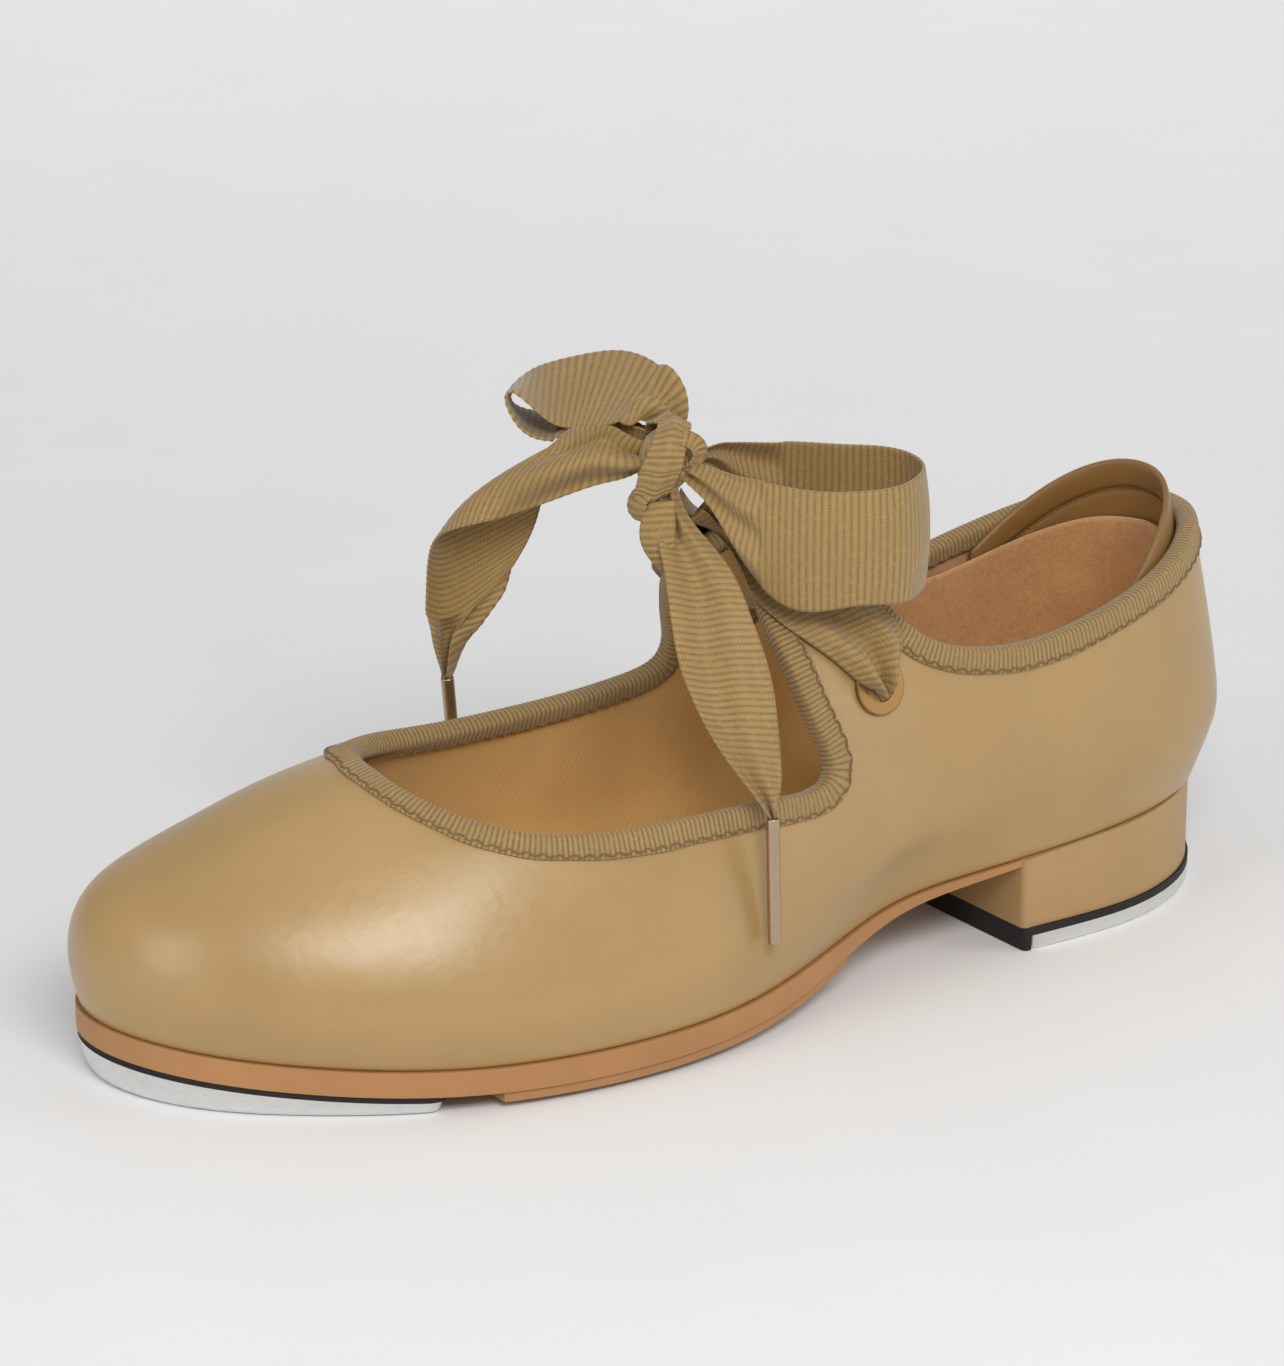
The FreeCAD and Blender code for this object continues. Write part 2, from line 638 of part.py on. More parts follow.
AWAY, RIGHT = V(0.588, 0.809, 0), V(0.809, -0.588, 0)
LOOP_NEAR = [                                # right and away from the knot, top and bottom height
    (8.6, -5.4, -0.5, -5.5), (12.5, -8.0, -1.0, -14.0), (22.0, -12.0, -2.0, -23.0), (34.0, -13.0, -2.2, -24.0),
    (43.0, -9.0, -2.0, -24.5), (47.0, 0.0, -1.6, -24.0), (43.0, 9.0, -1.0, -23.5), (32.0, 13.0, -1.0, -23.0),
    (20.0, 11.5, 0.0, -19.0), (12.0, 8.0, 1.0, -10.0), (8.5, 5.5, 1.5, -4.0),
]
LOOP_FAR_NEAR_EDGE = [
    (-88.6, 9.1, 107.0), (-92.6, 9.4, 109.6), (-97.6, 11.9, 108.8), (-101.1, 15.4, 107.6), (-106.6, 19.4, 109.4),
    (-111.1, 22.9, 113.6), (-112.1, 23.9, 112.4), (-110.6, 22.4, 107.6), (-107.1, 19.9, 104.6), (-100.1, 15.9, 104.0),
    (-93.3, 12.3, 104.6),
]
LOOP_FAR_FAR_EDGE = [
    (-82.6, 9.9, 106.2), (-80.1, 14.9, 110.6), (-80.1, 23.9, 114.1), (-84.6, 30.9, 114.6), (-93.1, 36.9, 112.1),
    (-97.6, 39.9, 109.6), (-99.6, 41.4, 106.6), (-98.1, 39.4, 104.1), (-94.1, 36.4, 103.1), (-90.6, 27.9, 102.6),
    (-87.6, 17.9, 102.8),
]
TAIL_FAR = [
    [(-98.4, 5.4, 106.4), (-100.2, 6.6, 108.6), (-103.6, 10.2, 107.8), (-105.0, 16.2, 104.4), (-104, 22.4, 97),
     (-102.6, 26.5, 89.5), (-104, 29.5, 81), (-108.5, 32.5, 72.5), (-113.5, 35.6, 64), (-116.0, 37, 55.5)],
    [(-99.8, 4.2, 103.6), (-102.6, 6.6, 104.3), (-107, 11.4, 103), (-111.9, 20, 99.5), (-116, 30, 92),
     (-115.5, 35.5, 81.5), (-114.5, 37.7, 72), (-114.5, 38.0, 64), (-116, 38.0, 59.5), (-116.5, 37.6, 55.5)],
    [(-99.2, 5.0, 98.6), (-102.4, 7.9, 97.5), (-109.5, 15, 93.5), (-116.5, 22.5, 90), (-121, 29.5, 87),
     (-121.5, 35, 82), (-120.5, 38, 73), (-120, 38.9, 65), (-118.5, 38.8, 59), (-117, 38.2, 55.5)],
]
TAIL_NEAR = [
    [(-96.6, -1.6, 92.4), (-98.2, -5.5, 86), (-101.5, -12.5, 77.5), (-103.5, -18.5, 69.5), (-103.5, -24.5, 62.5),
     (-101.5, -29.5, 55.5), (-98.3, -34.0, 49.0), (-96.1, -35.2, 45.4)],
    [(-92.2, -5.2, 93.6), (-90.2, -13.5, 87), (-90.2, -21.5, 78.5), (-90.5, -27.5, 70), (-92, -32, 62),
     (-93.0, -34.6, 54), (-94.4, -36.0, 49.0), (-95.1, -35.6, 45.4)],
]
AGLET_NEAR = (V(-95.6, -35.4, 45.2), V(-96.8, -37.9, 22.0))
AGLET_FAR = (V(-116.5, 37.6, 55.3), V(-113.2, 39.6, 32.2))


def near_loop():
    rails = []
    for height in (2, 3):
        rails.append([KNOT + RIGHT * row[0] + AWAY * row[1] + V(0, 0, row[height]) for row in LOOP_NEAR])
    return ribbon(rails)


def ribbon_strip(rails):
    return ribbon([[V(*p) for p in rail] for rail in rails])


def aglet(start, end):
    """Crimped metal tip of the ribbon."""
    along = end - start
    tube = Part.makeCylinder(AGLET_R, along.Length, start, along)
    rim = [e for e in tube.Edges if e.Curve.TypeId == "Part::GeomCircle"]
    return tube.makeFillet(0.3, rim)


# ---------------------------------------------------------------- the parts
def save(name, shape):
    solids = shape.Solids
    print("%-20s solids %d valid %s volume %.0f" % (name, len(solids), shape.isValid(), shape.Volume))
    shape.exportStep("parts/" + name + ".step")


bores = [eyelet_bore(EYELET_NEAR), eyelet_bore(EYELET_FAR)]
far_seam = N - LINING_SEAM
save("upper", wall_layer(0.0, UPPER_THICK).cut(bores))
save("vamp_lining", wall_layer(LINING_DEPTH, LINING_THICK, LINING_SEAM, far_seam).cut(bores))
save("heel_lining", wall_layer(LINING_DEPTH, LINING_THICK, far_seam - N, LINING_SEAM))
save("toe_puff", thick(wall(1.4, 9.5, 16.5, 0.1, 3.0), wall(1.9, 9.5, 16.5, 0.1, 3.0)))
save("heel_counter", thick(wall(1.4, -3.0, 3.0, 0.1, 2.4), wall(1.9, -3.0, 3.0, 0.1, 2.4)))
save("topline_binding", binding())
save("heel_collar_tab", collar_tab())
for side, place in (("near", EYELET_NEAR), ("far", EYELET_FAR)):
    save("eyelet_" + side, eyelet(place))
    save("eyelet_washer_" + side, eyelet_washer(place))

toe_holes = screw_holes(TOE_SCREWS, TOE_SCREW_LENGTH)
heel_holes = screw_holes(HEEL_SCREWS, HEEL_SCREW_LENGTH)
save("outsole", outsole_body().cut(screw_holes(TOE_SCREWS, TOE_SCREW_LENGTH, False)))
save("forepart_pad", forepart_pad())
save("toe_tap_board", toe_tap_board().cut(toe_holes))
save("toe_tap", toe_tap().cut(toe_holes))
save("toe_tap_screws", screws(TOE_SCREWS, TOE_SCREW_LENGTH))
save("heel_block", heel_block().cut(heel_holes))
save("heel_tap_board", heel_tap_board().cut(heel_holes))
save("heel_tap", heel_tap().cut(heel_holes))
save("heel_tap_screws", screws(HEEL_SCREWS, HEEL_SCREW_LENGTH))
save("bottom_filler", bottom_layer(GLUE_LINE, FILLER_THICK).cut(shank_slab(0.1)))
save("shank", shank_slab(0.0))
save("insole_board", bottom_layer(FILLER_THICK, FILLER_THICK + BOARD_THICK))
save("sock_lining", bottom_layer(FILLER_THICK + BOARD_THICK, FILLER_THICK + BOARD_THICK + SOCK_THICK))

save("ribbon_cross", ribbon_cross())
save("ribbon_strand_near", strand(STRAND_LEFT, STRAND_RIGHT, STRAND_END_NEAR))
save("ribbon_strand_far", strand(mirrored(STRAND_LEFT), mirrored(STRAND_RIGHT), STRAND_END_FAR))
save("ribbon_knot", Part.makeSphere(KNOT_R, KNOT))
save("ribbon_loop_near", near_loop())
save("ribbon_loop_far", ribbon_strip([LOOP_FAR_NEAR_EDGE, LOOP_FAR_FAR_EDGE]))
save("ribbon_tail_near", ribbon_strip(TAIL_NEAR))
save("ribbon_tail_far", ribbon_strip(TAIL_FAR))
save("aglet_near", aglet(*AGLET_NEAR))
save("aglet_far", aglet(*AGLET_FAR))
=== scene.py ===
import math
import random

import bpy
import numpy as np
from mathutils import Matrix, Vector


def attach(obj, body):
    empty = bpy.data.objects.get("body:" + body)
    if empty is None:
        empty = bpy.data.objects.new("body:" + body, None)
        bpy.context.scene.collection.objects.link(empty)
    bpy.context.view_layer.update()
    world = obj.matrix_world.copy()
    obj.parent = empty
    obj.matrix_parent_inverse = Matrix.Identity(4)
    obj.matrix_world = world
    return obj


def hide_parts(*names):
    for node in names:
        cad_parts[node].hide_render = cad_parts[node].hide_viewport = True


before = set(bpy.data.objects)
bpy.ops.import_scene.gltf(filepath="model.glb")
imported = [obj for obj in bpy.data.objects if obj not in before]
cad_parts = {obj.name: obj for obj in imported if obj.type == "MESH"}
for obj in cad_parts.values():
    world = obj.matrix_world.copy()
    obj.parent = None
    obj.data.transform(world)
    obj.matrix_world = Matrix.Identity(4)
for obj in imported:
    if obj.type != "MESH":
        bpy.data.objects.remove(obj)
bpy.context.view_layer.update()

# Tap shoe, left foot.  The toe points along -X, the lateral side faces -Y, and the floor is Z = 0.
# Shapes are worked out in millimetres and turned into metres when a mesh is made.
MM = 0.001

# ---- the last
FEATHER_HEIGHT = [
    (-225, 14.3), (-203, 12.6), (-194, 11.4), (-182, 10.2), (-171, 9.3), (-152, 8.4), (-133, 8.0),
    (-113, 8.2), (-96, 9.0), (-86, 9.9), (-74, 11.2), (-64, 12.8), (-54, 14.6), (-45, 16.1),
    (-36, 17.5), (-26, 18.8), (-12, 20.0), (10, 21.0), (35, 22.0),
]
RIDGE = [
    (-175, 10.0, 51.0), (-153, 8.5, 55.0), (-142, 7.5, 57.0), (-121, 5.0, 62.5), (-100, 3.5, 74.0),
    (-86, 3.0, 84.0), (-73, 2.5, 90.0), (-57, 2.0, 93.0), (-38, 1.0, 107.0), (-19, 0.5, 118.0),
    (20, 0.0, 126.0),
]
# Feather X and Y, bulge beyond it at the low and the high girth, ridge X, share of straight lean.
STATIONS = [
    (28.5, 0.0, 4.2, 4.4, 0.0, 0.3),
    (23.5, -14.2, 3.8, 3.8, 0.0, 0.3),
    (7.0, -24.0, 2.8, 3.0, 0.0, 0.25),
    (-14.0, -26.8, 2.2, 2.2, -14.0, 0.2),
    (-35.0, -24.2, 3.2, 4.6, -36.0, 0.2),
    (-55.0, -20.9, 4.4, 7.6, -57.0, 0.2),
    (-76.0, -26.0, 4.0, 5.0, -76.0, 0.22),
    (-97.0, -32.2, 2.8, 0.8, -96.0, 0.25),
    (-118.0, -33.8, 2.2, -1.0, -113.0, 0.3),
    (-139.0, -31.4, 2.2, -1.8, -126.0, 0.3),
    (-160.0, -25.0, 2.4, -1.8, -133.0, 0.37),
    (-180.0, -12.6, 2.8, -1.5, -137.0, 0.43),
    (-195.5, 2.6, 2.4, -1.8, -140.0, 0.5),
    (-202.6, 20.5, 2.0, -2.6, -141.0, 0.54),
    (-198.0, 36.5, 1.8, -3.2, -140.0, 0.54),
    (-183.0, 44.7, 2.0, -3.0, -137.0, 0.5),
    (-163.0, 46.0, 2.2, -2.0, -133.0, 0.44),
    (-142.0, 43.5, 2.3, -0.6, -126.0, 0.32),
    (-121.0, 38.0, 3.0, 0.5, -115.0, 0.28),
    (-99.0, 30.5, 4.0, 3.0, -97.0, 0.25),
    (-77.0, 24.0, 5.6, 7.0, -77.0, 0.22),
    (-55.0, 21.0, 6.0, 9.0, -57.0, 0.2),
    (-35.0, 23.4, 4.0, 5.6, -36.0, 0.2),
    (-14.0, 26.5, 2.4, 2.6, -14.0, 0.2),
    (7.0, 24.0, 2.8, 3.0, 0.0, 0.25),
    (23.5, 14.2, 3.8, 3.8, 0.0, 0.3),
]
LOW_GIRTH, HIGH_GIRTH = 10.5, 22.5
LEAN_STEPS = (0.40, 0.75, 1.0)
N = len(STATIONS)

# Cut edge of the upper as (station, level), from the heel back round the lateral side.
TOPLINE = [
    (0.0, 2.95), (0.7, 2.95), (1.4, 2.89), (2.05, 2.80), (2.65, 2.73), (3.25, 2.70), (3.8, 2.76),
    (4.25, 2.90), (4.62, 3.10), (4.9, 3.36), (5.1, 3.66), (5.25, 3.97), (5.42, 4.28), (5.7, 4.50),
    (6.02, 4.53), (6.24, 4.36), (6.31, 4.05), (6.28, 3.70), (6.22, 3.35), (6.14, 3.05), (6.06, 2.80),
    (6.09, 2.63), (6.3, 2.59), (6.65, 2.67), (7.1, 2.79), (7.6, 2.91), (8.15, 3.03), (8.7, 3.19),
    (9.25, 3.40), (9.8, 3.67), (10.35, 3.95), (11.0, 4.22), (11.9, 4.45), (13.0, 4.54),
    (14.0, 4.51), (14.9, 4.36), (15.6, 4.17), (16.2, 3.97), (16.8, 3.76), (17.35, 3.56), (17.9, 3.38),
    (18.4, 3.22), (18.9, 3.07), (19.35, 2.96), (19.75, 2.90), (19.98, 2.94), (20.03, 3.12),
    (19.96, 3.40), (19.87, 3.75), (19.80, 4.08), (19.84, 4.36), (20.0, 4.51), (20.3, 4.49),
    (20.58, 4.28), (20.75, 3.97), (20.9, 3.66), (21.1, 3.36), (21.38, 3.10), (21.75, 2.90),
    (22.2, 2.76), (22.75, 2.70), (23.35, 2.73), (23.95, 2.80), (24.6, 2.89), (25.3, 2.95),
]
T = len(TOPLINE)
LINING_SEAM = 4.0
EYELETS = {"near": (5.40, 3.10), "far": (20.62, 3.10)}


def smooth(rows, x, column=1, reach=4.0):
    """Table value averaged over a few points round x."""
    xs, ys = [r[0] for r in rows], [r[column] for r in rows]
    weights = np.array([1, 6, 15, 20, 15, 6, 1]) / 64
    return sum(w * np.interp(x + reach * (j - 3), xs, ys) for j, w in enumerate(weights))


def feather_z(x):
    return smooth(FEATHER_HEIGHT, x)


def control_values(rows, closed):
    """Control values of the uniform cubic B-spline through the given rows."""
    rows = np.array(rows, float)
    c = rows.copy()
    n = len(rows)
    for _ in range(40):
        for i in range(0 if closed else 1, n if closed else n - 1):
            c[i] = (6 * rows[i] - c[i - 1] - c[(i + 1) % n]) / 4
    return c


def blending(t):
    return (
        (1 - t) ** 3 / 6,
        (3 * t ** 3 - 6 * t * t + 4) / 6,
        (-3 * t ** 3 + 3 * t * t + 3 * t + 1) / 6,
        t ** 3 / 6,
    )


def station_levels(i):
    """Points of one station from the feather line up to the ridge."""
    x, y, low, high, ridge_x, straight = STATIONS[i]
    ahead, behind = STATIONS[(i + 1) % N], STATIONS[i - 1]
    tx, ty = ahead[0] - behind[0], ahead[1] - behind[1]
    n = np.array([-ty, tx]) / math.hypot(tx, ty)
    ridge = np.array([ridge_x, smooth(RIDGE, ridge_x, 1)])
    ridge_z = smooth(RIDGE, ridge_x, 2)
    z = feather_z(x)
    foot = np.array([x, y])
    points = [(*foot, z), (*(foot + n * low), z + LOW_GIRTH)]
    top = foot + n * high
    points.append((*top, z + HIGH_GIRTH))
    for w in LEAN_STEPS:
        f = (1 - straight) * (1 - math.sqrt(1 - w * w)) + straight * w
        points.append((*(top + (ridge - top) * f), z + HIGH_GIRTH + (ridge_z - z - HIGH_GIRTH) * w))
    return points


def last_net():
    columns = np.array([station_levels(i) for i in range(N)])
    levels = [control_values(columns[:, k], True) for k in range(columns.shape[1])]
    net = np.array([control_values([level[i] for level in levels], False) for i in range(N)])
    below, above = 2 * net[:, :1] - net[:, 1:2], 2 * net[:, -1:] - net[:, -2:-1]
    return np.concatenate([below, net, above], axis=1)


NET = last_net()


def last(u, s):
    """Outside of the upper at stations u and levels s."""
    u, s = np.broadcast_arrays(np.asarray(u, float), np.asarray(s, float))
    i = np.floor(u).astype(int)
    j = np.clip(np.floor(s).astype(int), 0, NET.shape[1] - 4)
    across, up = blending(u - i), blending(s - j)
    out = 0
    for a in range(4):
        for b in range(4):
            out = out + (across[a] * up[b])[..., None] * NET[(i - 1 + a) % N, j + b]
    return out


def unit(v):
    return v / np.maximum(np.linalg.norm(v, axis=-1, keepdims=True), 1e-9)


def normal(u, s):
    d = 0.02
    return unit(np.cross(last(u, s + d) - last(u, s - d), last(u + d, s) - last(u - d, s)))


def skin(u, s, depth):
    """Point at a depth below the outside of the upper."""
    return last(u, s) - normal(u, s) * np.asarray(depth)[..., None]


EDGE = control_values([(u - N * i / T, s) for i, (u, s) in enumerate(TOPLINE)], True)


def edge_at(t):
    """Station and level of the cut edge at t, counted in its own points."""
    t = np.asarray(t, float)
    i = np.floor(t).astype(int)
    b = blending(t - i)
    p = sum(b[a][..., None] * EDGE[(i - 1 + a) % T] for a in range(4))
    return N * t / T + p[..., 0], p[..., 1]


def below_edge(t, drop):
    """Station and level of the points `drop` mm into the upper from its cut edge."""
    d = 0.05
    u, s = edge_at(t)
    (u0, s0), (u1, s1) = edge_at(t - d), edge_at(t + d)
    into = unit(np.cross(normal(u, s), last(u1, s1) - last(u0, s0))) * np.asarray(drop)[..., None]
    sideways = (last(u + d, s) - last(u - d, s)) / (2 * d)
    up = (last(u, s + d) - last(u, s - d)) / (2 * d)
    aa, ab, bb = (sideways * sideways).sum(-1), (sideways * up).sum(-1), (up * up).sum(-1)
    ai, bi = (sideways * into).sum(-1), (up * into).sum(-1)
    size = aa * bb - ab * ab
    return u + (ai * bb - bi * ab) / size, s + (bi * aa - ai * ab) / size


# ---- meshes
def add_object(name, points, faces, uv=None, material=None):
    """Object from points in millimetres, with smooth faces and one UV per point."""
    mesh = bpy.data.meshes.new(name)
    mesh.from_pydata((np.asarray(points) * MM).tolist(), [], [tuple(map(int, f)) for f in faces])
    if uv is not None:
        layer = mesh.uv_layers.new(name="UVMap")
        loops = np.empty(len(mesh.loops), int)
        mesh.loops.foreach_get("vertex_index", loops)
        layer.data.foreach_set("uv", (np.asarray(uv)[loops] * MM).ravel())
    mesh.polygons.foreach_set("use_smooth", [True] * len(mesh.polygons))
    obj = bpy.data.objects.new(name, mesh)
    bpy.context.scene.collection.objects.link(obj)
    if material:
        mesh.materials.append(material)
    return obj


def grid_faces(rows, columns, ring_rows=False, ring_columns=False):
    """Quads of a grid stored row by row."""
    i = np.arange(rows if ring_rows else rows - 1)
    j = np.arange(columns if ring_columns else columns - 1)
    i, j = np.meshgrid(i, j, indexing="ij")
    i2, j2 = (i + 1) % rows, (j + 1) % columns
    corners = [i * columns + j, i2 * columns + j, i2 * columns + j2, i * columns + j2]
    return np.stack(corners, -1).reshape(-1, 4)


def shell_object(name, grid, uv, material, thickness, ring=False, keep=None):
    """Skin of even thickness from a grid of points; `keep` marks the points that stay."""
    rows, columns = grid.shape[:2]
    faces = grid_faces(rows, columns, ring_rows=ring)[:, ::-1]
    if keep is not None:
        faces = faces[keep.reshape(-1)[faces].all(axis=1)]
    used = np.unique(faces)
    index = np.full(rows * columns, -1)
    index[used] = np.arange(len(used))
    obj = add_object(name, grid.reshape(-1, 3)[used], index[faces], uv.reshape(-1, 2)[used], material)
    solid = obj.modifiers.new("thickness", "SOLIDIFY")
    solid.thickness = thickness * MM
    solid.offset = -1
    return obj


def spline(points, count=None, where=None, ring=False):
    """Smooth curve through points, sampled evenly along its chord or at the places given (0 to 1)."""
    p = np.asarray(points, float)
    if ring:
        p = np.concatenate([p[-3:], p, p[:4]])
    chord = np.maximum(np.linalg.norm(np.diff(p[:, :3], axis=0), axis=1), 1e-6) ** 0.7
    t = np.concatenate([[0], np.cumsum(chord)])
    n = len(p)
    h = np.diff(t)
    a = np.zeros((n, n))
    r = np.zeros((n, p.shape[1]))
    a[0, 0] = a[-1, -1] = 1
    for i in range(1, n - 1):
        a[i, i - 1:i + 2] = h[i - 1], 2 * (h[i - 1] + h[i]), h[i]
        r[i] = 6 * ((p[i + 1] - p[i]) / h[i] - (p[i] - p[i - 1]) / h[i - 1])
    m = np.linalg.solve(a, r)
    low, high = (t[3], t[n - 4]) if ring else (t[0], t[-1])
    w = np.linspace(0, 1, count, endpoint=not ring) if where is None else np.asarray(where)
    x = low + (high - low) * w
    k = np.clip(np.searchsorted(t, x, side="right") - 1, 0, n - 2)
    d, e, s = x - t[k], t[k + 1] - x, h[k]
    return (
        (m[k] * e[:, None] ** 3 + m[k + 1] * d[:, None] ** 3) / (6 * s[:, None])
        + (p[k] / s[:, None] - m[k] * s[:, None] / 6) * e[:, None]
        + (p[k + 1] / s[:, None] - m[k + 1] * s[:, None] / 6) * d[:, None]
    )


def along(points):
    """Distance along a line of points."""
    return np.concatenate([[0], np.cumsum(np.linalg.norm(np.diff(points, axis=0), axis=1))])


def even(points, step):
    """The same curve with points at an even distance."""
    d = along(points[:, :3])
    count = max(4, int(round(d[-1] / step)) + 1)
    x = np.linspace(0, d[-1], count)
    return np.stack([np.interp(x, d, points[:, k]) for k in range(points.shape[1])], 1)


def turned_to(axis, side):
    """Rotation that takes the Z axis to the given axis; `side` settles the turn about it."""
    z = unit(axis)
    x = unit(np.cross(side, z))
    return np.stack([x, np.cross(z, x), z], 1)


# ---- materials
# Scale of a wave texture whose bands are one unit apart.
WAVE_SCALE = 0.314159


class Shade:
    """Small helper that builds one node material."""

    def __init__(self, name, roughness=0.6, metallic=0.0, specular=0.5, sheen=0.0, coat=0.0):
        self.material = bpy.data.materials.new(name)
        self.material.use_nodes = True
        self.nodes = self.material.node_tree.nodes
        self.links = self.material.node_tree.links
        self.surface = self.nodes["Principled BSDF"]
        self.surface.inputs["Roughness"].default_value = roughness
        self.surface.inputs["Metallic"].default_value = metallic
        self.surface.inputs["Specular IOR Level"].default_value = specular
        self.surface.inputs["Sheen Weight"].default_value = sheen
        self.surface.inputs["Sheen Roughness"].default_value = 0.5
        self.surface.inputs["Coat Weight"].default_value = coat
        self.normal = None

    def node(self, kind, **values):
        made = self.nodes.new(kind)
        for key, value in values.items():
            setattr(made, key, value)
        return made

    def join(self, source, target):
        self.links.new(source, target)

    def coords(self, kind="Object", scale=(1000.0, 1000.0, 1000.0), turn=(0.0, 0.0, 0.0)):
        """Coordinates in millimetres, from the object or from the UV map."""
        source = self.node("ShaderNodeTexCoord")
        mapping = self.node("ShaderNodeMapping")
        mapping.inputs["Scale"].default_value = scale
        mapping.inputs["Rotation"].default_value = turn
        self.join(source.outputs[kind], mapping.inputs["Vector"])
        return mapping.outputs["Vector"]

    def noise(self, vector, scale, detail=3.0, roughness=0.55, distortion=0.0):
        made = self.node("ShaderNodeTexNoise")
        made.inputs["Scale"].default_value = scale
        made.inputs["Detail"].default_value = detail
        made.inputs["Roughness"].default_value = roughness
        made.inputs["Distortion"].default_value = distortion
        self.join(vector, made.inputs["Vector"])
        return made.outputs["Fac"]

    def wave(self, vector, pitch, axis="X", distortion=0.0, detail_scale=1.0):
        """Bands of the given pitch in the vector's own units."""
        made = self.node("ShaderNodeTexWave", bands_direction=axis, wave_profile="SIN")
        made.inputs["Scale"].default_value = WAVE_SCALE / pitch
        made.inputs["Distortion"].default_value = distortion
        made.inputs["Detail"].default_value = 2.0
        made.inputs["Detail Scale"].default_value = detail_scale
        self.join(vector, made.inputs["Vector"])
        return made.outputs["Fac"]

    def math(self, kind, a, b):
        made = self.node("ShaderNodeMath", operation=kind)
        for value, target in ((a, made.inputs[0]), (b, made.inputs[1])):
            if isinstance(value, (int, float)):
                target.default_value = value
            else:
                self.join(value, target)
        return made.outputs["Value"]

    def ramp(self, fac, stops):
        """Colour ramp; stops are (place, (r, g, b))."""
        made = self.node("ShaderNodeValToRGB")
        elements = made.color_ramp.elements
        for place, colour in stops[2:]:
            elements.new(place)
        for element, (place, colour) in zip(elements, sorted(stops)):
            element.position = place
            element.color = (*colour, 1.0)
        self.join(fac, made.inputs["Fac"])
        return made.outputs["Color"]

    def span(self, fac, low, high, from_low=0.0, from_high=1.0):
        made = self.node("ShaderNodeMapRange")
        limits = {"From Min": from_low, "From Max": from_high, "To Min": low, "To Max": high}
        for name, value in limits.items():
            made.inputs[name].default_value = value
        self.join(fac, made.inputs["Value"])
        return made.outputs["Result"]

    def mix(self, a, b, fac):
        """Colour between a and b; a colour Mix node keeps its colours in inputs 6 and 7."""
        made = self.node("ShaderNodeMix", data_type="RGBA", blend_type="MIX")
        for value, target in ((fac, made.inputs[0]), (a, made.inputs[6]), (b, made.inputs[7])):
            if isinstance(value, (int, float)):
                target.default_value = value
            elif isinstance(value, tuple):
                target.default_value = (*value, 1.0)
            else:
                self.join(value, target)
        return made.outputs[2]

    def colour(self, value):
        if isinstance(value, tuple):
            self.surface.inputs["Base Color"].default_value = (*value, 1.0)
        else:
            self.join(value, self.surface.inputs["Base Color"])

    def roughness(self, value):
        self.join(value, self.surface.inputs["Roughness"])

    def bump(self, height, distance_mm, strength=1.0):
        """Adds a bump whose full height is the given distance."""
        made = self.node("ShaderNodeBump")
        made.inputs["Strength"].default_value = strength
        made.inputs["Distance"].default_value = distance_mm * MM
        self.join(height, made.inputs["Height"])
        if self.normal is not None:
            self.join(self.normal, made.inputs["Normal"])
        self.normal = made.outputs["Normal"]
        self.join(self.normal, self.surface.inputs["Normal"])


def tint(colour, factor):
    return tuple(c * factor for c in colour)


def leather(name, base, grain=1.0, gloss=0.38):
    """Smooth coated leather: fine pores, faint creases, soft uneven sheen."""
    shade = Shade(name, roughness=gloss, specular=0.5, coat=0.35)
    shade.surface.inputs["Coat Roughness"].default_value = 0.28
    where = shade.coords()
    cloud = shade.noise(where, 0.035, detail=4.0)
    shade.colour(shade.ramp(cloud, [(0.3, tint(base, 0.93)), (0.7, tint(base, 1.07))]))
    pores = shade.noise(where, 2.6, detail=3.0, roughness=0.6)
    creases = shade.noise(where, 0.16, detail=5.0, roughness=0.5, distortion=0.8)
    shade.bump(creases, 0.5 * grain, 0.35)
    shade.bump(pores, 0.05 * grain, 0.5)
    shade.roughness(shade.span(shade.noise(where, 0.5), gloss - 0.05, gloss + 0.08))
    return shade.material


def ribbed_ribbon(name, base, pitch, groove=0.60):
    """Grosgrain: ribs across the ribbon, fine warp threads along it, painted shade in the grooves between
    the ribs with a painted highlight on the rib tops, and painted glints on light flecks.
    """
    shade = Shade(name, roughness=0.62, specular=0.35, sheen=0.25)
    where = shade.coords("UV")
    ribs = shade.wave(where, pitch, "X", distortion=0.5, detail_scale=0.8)
    threads = shade.wave(where, 0.42, "Y", distortion=0.8, detail_scale=1.5)
    cloud = shade.noise(where, 0.10, detail=3.0)
    slubs_and_glints = shade.noise(where, 0.9, detail=4.0, roughness=0.7)
    # Painted shade and highlight: the rib colour runs from `groove` times the base in the grooves to 1.1
    # times the base on the rib tops.
    rib_shade_stops = [(0.0, tint(base, groove)), (0.30, tint(base, 0.88)), (1.0, tint(base, 1.10))]
    rib_shaded_colour = shade.ramp(ribs, rib_shade_stops)
    thread_colour = shade.mix(rib_shaded_colour, tint(base, 0.50), shade.math("MULTIPLY", threads, 0.30))
    # Painted glints: lighter yellowish flecks, up to 1.55 times the base, where the slub noise is high; the
    # same noise also gives the slub bump.
    yarn_with_glints = shade.mix(thread_colour, tint(base, 1.55), shade.span(slubs_and_glints, 0.0, 0.45, 0.5, 0.8))
    shade.colour(shade.mix(yarn_with_glints, tint(base, 0.78), shade.span(cloud, 0.0, 0.45, 0.42, 0.75)))
    shade.bump(slubs_and_glints, 0.10, 0.4)
    shade.bump(threads, 0.05, 0.6)
    shade.bump(ribs, 0.20, 0.7)
    return shade.material


